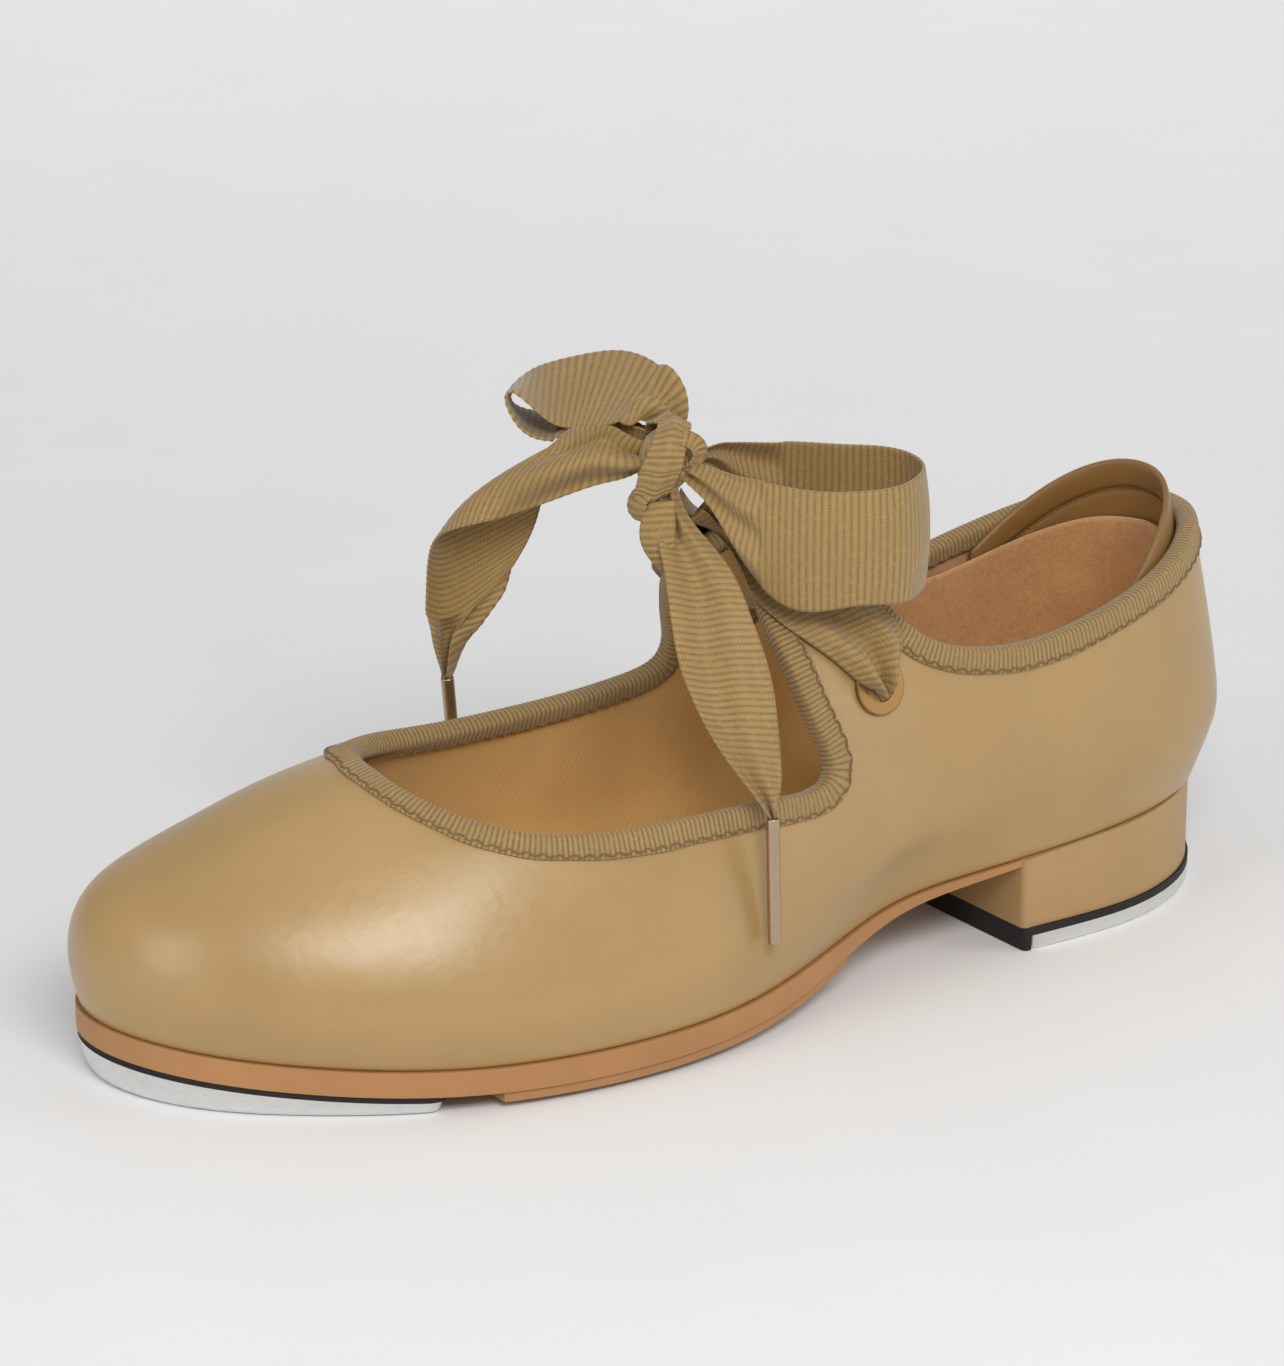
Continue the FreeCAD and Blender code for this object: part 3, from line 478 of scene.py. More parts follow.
def suede(name, base):
    """Brushed nap with soft blotches."""
    shade = Shade(name, roughness=0.95, specular=0.15, sheen=0.6)
    where = shade.coords()
    nap = shade.noise(where, 1.1, detail=6.0, roughness=0.7)
    cloud = shade.noise(where, 0.12, detail=3.0)
    colour = shade.ramp(nap, [(0.25, tint(base, 0.72)), (0.75, tint(base, 1.22))])
    shade.colour(shade.mix(colour, tint(base, 1.3), shade.span(cloud, 0.0, 0.4, 0.4, 0.75)))
    shade.bump(nap, 0.25, 0.6)
    return shade.material


def woven(name, base):
    """Lining cloth: fine slanted twill and soft blotches."""
    shade = Shade(name, roughness=0.8, specular=0.25, sheen=0.2)
    where = shade.coords("UV", turn=(0.0, 0.0, 0.5))
    twill = shade.wave(where, 1.1, "X", distortion=2.0, detail_scale=1.2)
    fine = shade.noise(where, 1.6, detail=4.0)
    cloud = shade.noise(shade.coords(), 0.05, detail=3.0)
    colour = shade.ramp(twill, [(0.0, tint(base, 0.96)), (1.0, tint(base, 1.03))])
    shade.colour(shade.mix(colour, tint(base, 0.7), shade.span(cloud, 0.0, 0.5, 0.45, 0.8)))
    shade.bump(twill, 0.04, 0.4)
    shade.bump(fine, 0.10, 0.5)
    return shade.material


def metal(name, base, roughness, scratch=0.35, streaks=(40.0, 900.0, 900.0)):
    """Worn satin metal with fine rubbed streaks."""
    shade = Shade(name, roughness=roughness, metallic=1.0)
    where = shade.coords(scale=streaks)
    rubbed = shade.noise(where, 1.2, detail=4.0)
    shade.colour(shade.ramp(rubbed, [(0.3, tint(base, 0.9)), (0.7, base)]))
    shade.roughness(shade.span(rubbed, roughness - 0.06, roughness + 0.12))
    shade.bump(rubbed, 0.03, scratch)
    return shade.material


def matte(name, base, roughness=0.7, grain_mm=0.8, depth_mm=0.05, variation=0.08):
    """Plain board, rubber, cork or paint with a fine grain."""
    shade = Shade(name, roughness=roughness, specular=0.35)
    where = shade.coords()
    grain = shade.noise(where, 1 / grain_mm, detail=4.0)
    cloud = shade.noise(where, 0.05, detail=3.0)
    colour = shade.ramp(cloud, [(0.3, tint(base, 1 - variation)), (0.7, tint(base, 1 + variation))])
    shade.colour(shade.mix(colour, tint(base, 0.75), shade.span(grain, 0.0, 0.3, 0.45, 0.9)))
    shade.bump(grain, depth_mm, 0.6)
    return shade.material


TAN = (0.40, 0.248, 0.090)
RIBBON_TAN = (0.370, 0.232, 0.079)
MATERIALS = {
    "upper_leather": leather("upper_leather", TAN, gloss=0.36),
    # Collar tab leather colour: partly the leather's own brown, partly painted shade, set between the lit
    # golden rim and the shaded inner panel.
    "collar_leather": leather("collar_leather", (0.25, 0.125, 0.032), grain=1.3, gloss=0.45),
    # Vamp lining colour: the cloth's tan with painted light, lighter than the cloth to make up for the shade
    # inside the shoe.
    "woven_lining": woven("woven_lining", (0.68, 0.41, 0.145)),
    "suede_lining": suede("suede_lining", (0.56, 0.285, 0.105)),
    # Binding grosgrain: deeper painted shade in its rib grooves (groove 0.42).
    "grosgrain": ribbed_ribbon("grosgrain", (0.380, 0.240, 0.086), 0.95, groove=0.42),
    "ribbon": ribbed_ribbon("ribbon", RIBBON_TAN, 1.3),
    "sock": matte("sock", (0.80, 0.62, 0.36), 0.55, grain_mm=0.6),
    "sole_leather": matte("sole_leather", (0.42, 0.205, 0.078), 0.5, grain_mm=0.5),
    "pad_rubber": matte("pad_rubber", (0.40, 0.205, 0.082), 0.7, grain_mm=0.4),
    "heel_stack": matte("heel_stack", (0.42, 0.262, 0.112), 0.45, grain_mm=1.5, depth_mm=0.03,
                        variation=0.05),
    "black_board": matte("black_board", (0.012, 0.010, 0.010), 0.6, grain_mm=0.4),
    "cork_filler": matte("cork_filler", (0.30, 0.19, 0.10), 0.9, grain_mm=2.0, depth_mm=0.3,
                         variation=0.25),
    "fibre_board": matte("fibre_board", (0.45, 0.33, 0.20), 0.8, grain_mm=1.0),
    "stiffener": matte("stiffener", (0.62, 0.58, 0.50), 0.7, grain_mm=1.2),
    "tap_metal": metal("tap_metal", (0.80, 0.80, 0.79), 0.30),
    "screw_steel": metal("screw_steel", (0.62, 0.62, 0.60), 0.35),
    "shank_steel": metal("shank_steel", (0.45, 0.46, 0.48), 0.4),
    "eyelet_metal": metal("eyelet_metal", (0.34, 0.20, 0.07), 0.28, scratch=0.05,
                          streaks=(300.0, 300.0, 300.0)),
    "aglet_metal": metal("aglet_metal", (0.52, 0.39, 0.28), 0.3, scratch=0.2),
    "thread": matte("thread", (0.21, 0.125, 0.045), 0.7, grain_mm=0.3),
}


# ---- upper and linings
def opening_levels(u):
    """Levels at which the cut edge crosses a station."""
    edge_u, edge_s = edge_at(np.linspace(0, T, 3200))
    levels = []
    for turn in (-N, 0, N):
        a, b = edge_u[:-1] + turn - u, edge_u[1:] + turn - u
        hit = (a <= 0) != (b <= 0)
        levels.extend(edge_s[:-1][hit] + (edge_s[1:][hit] - edge_s[:-1][hit]) * -a[hit] / (b[hit] - a[hit]))
    return levels


STATION_STEP, LEVEL_STEP, TOP_LEVEL = 0.05, 0.06, 4.66
# Millimetres for one station and one level: over the whole wall, and at the heel.
WALL_UV = np.array([21.0, 12.0])
HEEL_UV = np.array([24.0, 13.0])


def wall_shell(name, depth, thickness, first, last_station, material):
    """Layer of the upper between two stations, trimmed at the cut edge under the binding."""
    ring = last_station - first == N
    count = int(round((last_station - first) / STATION_STEP)) + (0 if ring else 1)
    stations = first + np.arange(count) * STATION_STEP
    levels = np.arange(0, TOP_LEVEL, LEVEL_STEP)
    u, s = np.meshgrid(stations, levels, indexing="ij")
    keep = np.array([[sum(e < level for e in edges) % 2 == 0 for level in levels]
                     for edges in map(opening_levels, stations)])
    uv = np.stack([u, s], -1) * WALL_UV
    return shell_object(name, skin(u, s, np.full(u.shape, depth)), uv, material, thickness, ring, keep)


def closed_strip(name, front, back, uv, material, ring=False):
    """Closed sheet between two grids of points with the same rows and columns."""
    rows, columns = front.shape[:2]
    loop = np.concatenate([front, back[:, ::-1]], axis=1)
    loop_uv = np.concatenate([uv, uv[:, ::-1]], axis=1)
    faces = [grid_faces(rows, 2 * columns, ring_rows=ring, ring_columns=True)]
    if not ring:
        j = np.arange(columns - 1)
        cap = np.stack([j, j + 1, 2 * columns - 2 - j, 2 * columns - 1 - j], -1)
        faces += [cap, (cap + (rows - 1) * 2 * columns)[:, ::-1]]
    return add_object(name, loop.reshape(-1, 3), np.concatenate(faces), loop_uv.reshape(-1, 2), material)


# Section of the binding as (drop below the cut edge, depth into the wall), from outside to inside.
BINDING_PROFILE = [
    (4.40, -0.10), (4.42, -0.45), (4.25, -0.68), (3.6, -0.74), (2.4, -0.74), (1.2, -0.76), (0.4, -0.72),
    (-0.12, -0.50), (-0.46, -0.05), (-0.60, 0.6), (-0.66, 1.35), (-0.60, 2.1), (-0.46, 2.75), (-0.12, 3.2),
    (0.4, 3.42), (1.0, 3.46), (1.9, 3.44), (2.7, 3.42), (3.2, 3.34), (3.35, 3.1), (3.35, 2.80),
]
RIB = 0.95
STITCH_LENGTH = 2.7
STITCH_ENDS = 0.03


def binding_mesh():
    """Grosgrain folded over the cut edge, with its ribs across the edge.

    Also gives the place of each ring of points, as t and as the distance along the edge.
    """
    t = np.linspace(0, T, 2400, endpoint=False)
    edge = skin(*edge_at(t), np.zeros(len(t)))
    gap = np.linalg.norm(np.roll(edge, -1, axis=0) - edge, axis=1)
    run = np.concatenate([[0], np.cumsum(gap)])
    count = int(run[-1] / (RIB / 4)) // 4 * 4
    t = np.interp(np.arange(count) * run[-1] / count, run, np.append(t, T))
    x = np.arange(count) * run[-1] / count
    rib = 0.07 * np.cos(2 * math.pi * x * (count / 4) / run[-1])
    wobble = 0.10 * np.sin(x * 0.21) + 0.07 * np.sin(x * 0.53 + 1.0)
    rings = []
    side = np.cumsum([0] + [math.dist(a, b) for a, b in zip(BINDING_PROFILE, BINDING_PROFILE[1:])])
    for k, (drop, depth) in enumerate(BINDING_PROFILE):
        at = below_edge(t, np.full(count, drop) + (wobble if drop > 3 else 0))
        lift = rib * (-1 if depth < 1.35 else 1)
        rings.append(skin(*at, depth + lift))
    for drop, depth in ((0.15, 2.75), (0.05, 1.35), (0.15, -0.05)):
        rings.append(skin(*below_edge(t, np.full(count, drop)), np.full(count, depth)))
        side = np.append(side, side[-1] + 1)
    points = np.stack(rings, 1)
    uv = np.stack(np.broadcast_arrays(x[:, None], side[None]), -1)
    faces = grid_faces(count, points.shape[1], ring_rows=True, ring_columns=True)
    made = add_object("binding", points.reshape(-1, 3), faces, uv.reshape(-1, 2), MATERIALS["grosgrain"])
    return made, t, x


def capsule(start, end, radius, sides=6):
    """Points and faces of a short thread end to end."""
    axis = end - start
    rotation = turned_to(axis, (0.3, 0.5, 0.8))
    length = np.linalg.norm(axis)
    rings = [(0.0, 0.15), (0.1, 0.75), (0.3, 1.0), (0.7, 1.0), (0.9, 0.75), (1.0, 0.15)]
    angle = np.linspace(0, 2 * math.pi, sides, endpoint=False)
    points = np.array([
        [radius * r * math.cos(a), radius * r * math.sin(a), f * length] for f, r in rings for a in angle
    ]) @ rotation.T + start
    return points, grid_faces(len(rings), sides, ring_columns=True)


def threads(name, pairs, radius, material):
    """One object of many short threads."""
    points, faces, count = [], [], 0
    for start, end in pairs:
        p, f = capsule(start, end, radius)
        points.append(p)
        faces.append(f + count)
        count += len(p)
    points = np.concatenate(points)
    return add_object(name, points, np.concatenate(faces), points[:, :2], material)


def stitch_pairs(at, inset):
    """Start and end of the thread between each two points, shortened by a share at each end."""
    return [(a * (1 - inset) + b * inset, a * inset + b * (1 - inset)) for a, b in zip(at, at[1:])]


def binding_stitches():
    """Zigzag thread along the lower edge of the binding, on both faces."""
    pairs = []
    for depth, low, high in ((-0.84, 4.15, 3.35), (3.54, 3.10, 2.30)):
        count = 2 * int(BINDING_LENGTH / STITCH_LENGTH)
        x = np.arange(count + 1) * BINDING_LENGTH / count
        t = np.interp(x, BINDING_X, BINDING_T)
        drop = np.where(np.arange(count + 1) % 2 == 0, low, high)
        at = skin(*below_edge(t, drop), np.full(count + 1, depth))
        pairs += stitch_pairs(at, STITCH_ENDS)
    return threads("binding_stitches", pairs, 0.2, MATERIALS["thread"])


UPPER_THICK = 1.3
LINING_DEPTH, LINING_THICK = 2.0, 0.7
upper = wall_shell("upper_skin", 0.0, UPPER_THICK, 0.0, N, MATERIALS["upper_leather"])
vamp_lining = wall_shell("vamp_lining_cloth", LINING_DEPTH, LINING_THICK, LINING_SEAM, N - LINING_SEAM,
                         MATERIALS["woven_lining"])
heel_lining = wall_shell("heel_lining_suede", LINING_DEPTH, LINING_THICK, -LINING_SEAM, LINING_SEAM,
                         MATERIALS["suede_lining"])
binding, BINDING_T, BINDING_X = binding_mesh()
BINDING_LENGTH = BINDING_X[-1] + BINDING_X[1]
BINDING_T, BINDING_X = np.append(BINDING_T, T), np.append(BINDING_X, BINDING_LENGTH)
stitches = binding_stitches()

# ---- collar tab and sock lining
TAB_REACH, TAB_TOP = 2.5, 3.21
TAB_FALL, TAB_ROUNDNESS = 0.56, 2.3
TAB_STITCH_DROP = 2.6


def tab_top(u):
    """Level of the tab's upper outline at a station."""
    return TAB_TOP - TAB_FALL * np.abs(u / TAB_REACH) ** TAB_ROUNDNESS


def collar_tab_mesh():
    """Padded leather leaf at the back of the heel: folded rim, stitched groove, soft inner panel."""
    columns, rows = 161, 61
    q = np.linspace(-1, 1, columns)
    top = tab_top(TAB_REACH * q)
    low = 2.53 - 0.30 * q * q
    v = np.linspace(0, 1, rows)[:, None] ** 0.8
    s = low + (top - low) * v
    u = np.broadcast_to(TAB_REACH * q, s.shape)
    from_rim = np.minimum((top - s) * HEEL_UV[1], (1 - np.abs(q)) * 40.0)
    rim = np.sqrt(np.clip(1 - ((from_rim - 1.2) / 1.2) ** 2, 0, 1))
    groove = np.exp(-((from_rim - TAB_STITCH_DROP) / 0.3) ** 2)
    panel = np.clip((from_rim - 2.8) / 3.0, 0, 1)
    inner = 4.45 + 0.65 * rim - 0.25 * groove + 0.35 * np.sin(panel * math.pi / 2)
    outer = 3.85 - 0.30 * rim
    uv = np.stack([u, s], -1) * HEEL_UV
    return closed_strip("collar_tab_leaf", skin(u, s, inner), skin(u, s, outer), uv,
                        MATERIALS["collar_leather"])


def collar_stitches():
    """Straight row of thread in the groove of the collar tab."""
    u = np.linspace(-2.1, 2.1, 90)
    at = skin(u, tab_top(u) - TAB_STITCH_DROP / HEEL_UV[1], np.full(90, 4.32))
    return threads("collar_tab_stitches", stitch_pairs(at, 0.15), 0.16, MATERIALS["thread"])


# Cut edge of the suede as (station, level).
SUEDE_EDGE = [
    (-4.0, 2.62), (-3.0, 2.58), (-2.5, 2.62), (-2.0, 2.69), (-1.5, 2.76), (-1.0, 2.81), (0.0, 2.84),
    (1.0, 2.81), (1.5, 2.76), (2.0, 2.69), (2.5, 2.62), (3.0, 2.58), (4.0, 2.62),
]
SUEDE_REACH = 3.7


def suede_top_mesh():
    """Upper part of the heel lining, which covers the foot of the tab and ends in a cut edge."""
    u, v = np.meshgrid(np.linspace(-SUEDE_REACH, SUEDE_REACH, 221), np.linspace(0, 1, 61))
    edge = smooth(SUEDE_EDGE, u, reach=0.12)
    s = edge - 1.9 * (1 - v)
    blend_out = np.clip((SUEDE_REACH - np.abs(u)) * 1.1, 0, 1)
    swell = (v ** 2 * (3 - 2 * v)) * blend_out ** 2 * (3 - 2 * blend_out)
    depth = 2.72 + (5.45 - 2.72) * swell
    uv = np.stack([u, s], -1) * HEEL_UV
    return closed_strip("heel_lining_edge", skin(u, s, depth + 0.5), skin(u, s, depth), uv,
                        MATERIALS["suede_lining"])


# Height of the sock lining's two faces above the feather line.
SOCK_UNDER, SOCK_TOP = 3.36, 5.4


def sock_mesh():
    """Foam-backed sock lining, dished upward at its edge."""
    count = 12 * N
    u = np.linspace(0, N, count, endpoint=False)
    rim = skin(u, np.full(count, 0.42), np.full(count, 2.95))[:, :2]
    spine_x = np.clip(rim[:, 0], -172.0, 8.0)
    spine_y = np.interp(spine_x, (-172.0, -120.0, -60.0, 8.0), (18.0, 4.0, 1.5, 0.0))
    spine = np.stack([spine_x, spine_y], 1)
    share = np.concatenate([np.linspace(0, 0.9, 19), [0.94, 0.97, 0.99, 1.0]])
    plan = spine[:, None] + (rim - spine)[:, None] * share[None, :, None]
    base = feather_z(plan[..., 0])
    dish = 0.5 * np.clip((share - 0.75) / 0.25, 0, 1) ** 2 - 0.25
    edge = 0.6 * (1 - np.sqrt(np.clip(1 - np.clip((share - 0.97) / 0.03, 0, 1) ** 2, 0, 1)))
    top = np.concatenate([plan, (base + SOCK_TOP + dish - edge)[..., None]], -1)
    under = np.concatenate([plan, (base + SOCK_UNDER)[..., None]], -1)
    uv = top[..., :2]
    return closed_strip("sock_lining_pad", top, under, uv, MATERIALS["sock"], ring=True)


collar_tab = collar_tab_mesh()
collar_thread = collar_stitches()
suede_edge = suede_top_mesh()
sock = sock_mesh()

# ---- ribbon
KNOT = np.array([-92.5, 1.5, 102.5])
# Directions as the bow faces: away from the viewer, to the right, and up.
AWAY = np.array([0.588, 0.809, 0.0])
RIGHT = np.array([0.809, -0.588, 0.0])
UP = np.array([0.0, 0.0, 1.0])
RIBBON_PITCH, RIBBON_THICK, RIB_HEIGHT = 1.3, 0.5, 0.09
# Width of cloth that the pleats aim at, and the allowance on the distance between the rails.
PLEATED_WIDTH, RAIL_ALLOWANCE = 21.0, 1.05


def ribbon_mesh(name, rails, width_step=0.6, curl=0.0, fold=None, ring=False, pitch=RIBBON_PITCH,
                ripple=0.0, seed=1, gathers=0.0, deepest=1.7):
    """Ribbed ribbon between two or more rails; `fold` lifts it off them at (across, along).

    Where the rails come together, `gathers` lengthwise pleats take up the width, down to `deepest`.
    """
    rails = np.asarray(rails, float)
    stack = np.concatenate([rails.mean(axis=0)] + list(rails), axis=1)
    dense = spline(stack, 1200, ring=ring)
    if ring:
        dense = np.concatenate([dense, dense[:1]])
    rows = even(dense, pitch / 5)
    if ring:
        rows = rows[:-1]
    count = len(rows)
    x = np.arange(count) * pitch / 5
    edges = rows[:, 3:].reshape(count, len(rails), 3)
    width = np.linalg.norm(np.diff(edges, axis=1), axis=2).sum(axis=1)
    columns = max(9, int(width.max() / width_step) + 1)
    v = np.linspace(0, 1, columns)
    grid = spline(edges.transpose(1, 0, 2).reshape(len(rails), -1), where=v).reshape(columns, count, 3)
    grid = grid.transpose(1, 0, 2)
    if ring:
        forward = np.roll(grid, -1, axis=0) - np.roll(grid, 1, axis=0)
    else:
        forward = np.gradient(grid, axis=0)
    across = np.gradient(grid, axis=1)
    n = unit(np.cross(forward, across))
    w = np.linspace(0, 1, count)[:, None]
    lift = curl * (1 - (2 * v[None] - 1) ** 2) * np.sin(w * math.pi) ** 0.5
    if ripple:
        noise = random.Random(seed)
        for _ in range(5):
            a, b, c = noise.uniform(0.03, 0.12), noise.uniform(-3, 3), noise.uniform(0, 6.3)
            lift = lift + ripple / 3 * np.sin(x[:, None] * a * 2 * math.pi / 1.5 + b * v[None] + c)
    if fold is not None:
        lift = lift + fold(*np.broadcast_arrays(v[None], w))
    if gathers:
        spare = np.sqrt(np.clip(PLEATED_WIDTH ** 2 - (RAIL_ALLOWANCE * width) ** 2, 0, None))
        deep = np.clip(spare / (4 * gathers), 0, deepest)[:, None]
        sway = 0.6 * np.sin(x[:, None] * 0.11 + seed)
        lift = lift + deep * np.cos(2 * math.pi * gathers * v[None] + sway)
    grid = grid + n * np.asarray(lift)[..., None]
    towards_edge = np.sin(np.clip(v, 0.02, 0.98) * math.pi)[None] ** 0.12
    bump = RIB_HEIGHT * np.cos(2 * math.pi * x / pitch)[:, None] * towards_edge
    front = grid + n * (RIBBON_THICK / 2 + bump)[..., None]
    back = grid - n * (RIBBON_THICK / 2 + bump)[..., None]
    uv = np.stack(np.broadcast_arrays(x[:, None], v[None] * width.mean()), -1)
    return closed_strip(name, front, back, uv, MATERIALS["ribbon"], ring=ring)


def from_knot(rows):
    """Points given as (right, away, up) from the middle of the knot."""
    rows = np.asarray(rows, float)
    return KNOT + rows[:, :1] * RIGHT + rows[:, 1:2] * AWAY + rows[:, 2:] * UP


def on_skin(rail):
    """Points given as (station, level, height above the upper)."""
    return [skin(np.array(u), np.array(s), np.array(-h)) for u, s, h in rail]


STRAND_LEFT = [
    (5.45, 3.05, 0.2), (5.5, 3.08, 1.8), (5.64, 3.2, 2.6), (5.8, 3.4, 2.6), (6.1, 3.8, 2.6),
    (6.3, 4.3, 2.6), (6.25, 4.6, 2.8),
]
STRAND_RIGHT = [
    (5.35, 3.05, 0.2), (5.28, 3.1, 1.8), (5.16, 3.2, 2.6), (5.05, 3.38, 2.6), (5.2, 3.7, 2.6),
    (5.45, 4.2, 2.6), (5.75, 4.45, 2.8),
]
STRAND_END_NEAR = [(-89.4, -3.6, 92.6), (-86.4, -1.0, 93.6)]
STRAND_END_FAR = [(-89.4, 7.2, 92.6), (-86.6, 4.4, 93.6)]
# The near loop's edges share one plan: (right, away, upper edge, lower edge) from the knot.
LOOP_NEAR = [
    (2.5, -2.5, 1.0, -2.4), (5.0, -3.6, 0.5, -4.6), (8.6, -5.2, -0.2, -8.4), (13.0, -8.1, -0.6, -15.4),
    (22.0, -12.0, -1.4, -24.0), (34.0, -13.0, -1.8, -23.6), (43.0, -9.0, -1.6, -24.0),
    (47.0, 0.0, -1.4, -24.0), (43.0, 9.0, -1.0, -23.5), (32.0, 13.0, -1.0, -23.0),
    (20.0, 11.5, 0.0, -19.0), (12.0, 8.0, 1.0, -10.0), (8.5, 5.5, 1.5, -4.0), (3.0, 1.6, 0.2, -1.8),
]
LOOP_FAR_NEAR_EDGE = [
    (-90.0, 4.0, 104.5), (-88.6, 9.1, 107.0), (-92.6, 9.4, 109.0), (-97.6, 11.9, 107.8),
    (-101.1, 15.4, 106.6), (-106.6, 19.4, 108.6), (-111.1, 22.9, 113.4), (-112.1, 23.9, 112.2),
    (-110.6, 22.4, 107.6),
    (-107.1, 19.9, 104.6), (-100.1, 15.9, 104.0), (-93.3, 12.3, 104.6), (-91.0, 5.0, 102.5),
]
LOOP_FAR_FAR_EDGE = [
    (-88.0, 4.0, 104.0), (-82.6, 9.9, 106.2), (-80.1, 14.9, 110.6), (-80.1, 23.9, 114.1),
    (-84.6, 30.9, 114.6), (-93.1, 36.9, 112.1), (-97.6, 39.9, 109.6), (-99.6, 41.4, 106.6),
    (-98.1, 39.4, 104.1), (-94.1, 36.4, 103.1),
    (-90.6, 27.9, 102.6), (-87.6, 17.9, 102.8), (-89.0, 5.0, 102.0),
]
TAIL_FAR = [
    [(-94.0, 3.0, 104.4), (-98.4, 5.4, 106.4), (-100.2, 6.6, 108.6), (-103.6, 10.2, 107.8),
     (-105.0, 16.2, 104.4), (-104, 22.4, 97), (-102.6, 26.5, 89.5), (-104, 29.5, 81),
     (-108.5, 32.5, 72.5), (-113.5, 35.6, 64), (-116.0, 37, 55.5)],
    [(-94.6, 2.4, 102.6), (-99.8, 4.2, 103.6), (-102.6, 6.6, 104.3), (-107, 11.4, 103), (-111.9, 20, 99.5),
     (-116, 30, 92), (-115.5, 35.5, 81.5), (-114.5, 37.7, 72), (-114.5, 38.0, 64), (-116, 38.0, 59.5),
     (-116.5, 37.6, 55.5)],
    [(-94.2, 2.6, 100.8), (-99.2, 5.0, 98.6), (-102.4, 7.9, 97.5), (-109.5, 15, 93.5), (-116.5, 22.5, 90),
     (-121, 29.5, 87), (-121.5, 35, 82), (-120.5, 38, 73), (-120, 38.9, 65), (-118.5, 38.8, 59),
     (-117, 38.2, 55.5)],
]
TAIL_NEAR = [
    [(-94.6, -0.4, 98.0), (-96.6, -1.6, 92.4), (-98.2, -5.5, 86), (-101.5, -12.5, 77.5),
     (-103.5, -18.5, 69.5), (-103.5, -24.5, 62.5), (-101.5, -29.5, 55.5), (-98.3, -34.0, 49.0),
     (-96.1, -35.2, 45.4)],
    [(-92.6, -2.2, 98.6), (-92.2, -5.2, 93.6), (-90.2, -13.5, 87), (-90.2, -21.5, 78.5), (-90.5, -27.5, 70),
     (-92, -32, 62), (-93.0, -34.6, 54), (-94.4, -36.0, 49.0), (-95.1, -35.6, 45.4)],
]


def pleat(v, w):
    """Broad panel, dark valley and a narrow strip, opening out from the eyelet."""
    open_share = np.clip((w - 0.12) / 0.3, 0, 1)
    valley = np.exp(-((v - 0.70) / 0.055) ** 2)
    panel = 0.9 * np.sin(np.clip(v / 0.66, 0, 1) * math.pi) ** 0.7
    strip = 0.8 * np.sin(np.clip((v - 0.74) / 0.26, 0, 1) * math.pi) ** 0.7
    return open_share * (panel + strip - 1.3 * valley + 0.3) * np.clip((1 - w) * 8, 0.3, 1)


def strand_rails(end, far=False):
    """Edges of a strand from its eyelet to the knot; the far one mirrors the near one."""
    rails = []
    for edge, last_point in zip((STRAND_LEFT, STRAND_RIGHT), end):
        if far:
            edge = [(N - u, s, h) for u, s, h in edge]
        rails.append(on_skin(edge) + [np.array(last_point)])
    return rails


def loop_near_rails():
    """Upper and lower edge of the near loop."""
    return [from_knot([(right, away, upper_edge) for right, away, upper_edge, _ in LOOP_NEAR]),
            from_knot([(right, away, lower_edge) for right, away, _, lower_edge in LOOP_NEAR])]


strand_near = ribbon_mesh("strand_near", strand_rails(STRAND_END_NEAR), fold=pleat, gathers=2.0)
strand_far = ribbon_mesh("strand_far", strand_rails(STRAND_END_FAR, far=True), gathers=2.0,
                         fold=lambda v, w: -pleat(v, w))
loop_near = ribbon_mesh("bow_loop_near", loop_near_rails(), curl=-0.8, ripple=0.35, seed=3, gathers=2.0,
                        deepest=0.9)
loop_far = ribbon_mesh("bow_loop_far", [LOOP_FAR_NEAR_EDGE, LOOP_FAR_FAR_EDGE], curl=0.5, ripple=0.3, seed=5,
                       gathers=1.5)
tail_far = ribbon_mesh("bow_tail_far", TAIL_FAR, ripple=0.25, seed=7, gathers=1.5)
tail_near = ribbon_mesh("bow_tail_near", TAIL_NEAR, curl=-1.2, ripple=0.2, seed=9, gathers=1.5, deepest=0.9)


def cross_rails():
    """Edges of the stretch inside the shoe, arching from eyelet to eyelet."""
    rails = []
    near, far = (skin(np.array(u), np.array(s), np.array(4.4)) for u, s in EYELETS.values())
    for side in (-1, 1):
        k = np.linspace(0, 1, 9)
        half = 1.5 + 7.0 * np.sin(math.pi * k) ** 0.7
        arch = 12.0 * np.sin(math.pi * k)
        rails.append(near + (far - near) * k[:, None] + np.stack([side * half, 0 * k, arch], 1))
    return rails


ribbon_cross = ribbon_mesh("ribbon_cross_strap", cross_rails(), curl=0.3, gathers=2.0)


def knot_core():
    """Packed folds in the middle of the bow."""
    columns, rows = 64, 40
    a, b = np.meshgrid(np.linspace(0, 2 * math.pi, columns, endpoint=False),
                       np.linspace(0.02, math.pi - 0.02, rows), indexing="ij")
    r = 5.4 + 0.35 * np.sin(3 * a + 2 * b) + 0.25 * np.sin(5 * b + a)
    local = np.stack([0.95 * r * np.sin(b) * np.cos(a), 0.85 * r * np.sin(b) * np.sin(a),
                      1.12 * r * np.cos(b)], -1)
    uv = np.stack([a * 6.0, b * 6.0], -1)
    return add_object("knot_core", from_knot(local.reshape(-1, 3)),
                      grid_faces(columns, rows, ring_rows=True), uv.reshape(-1, 2), MATERIALS["ribbon"])


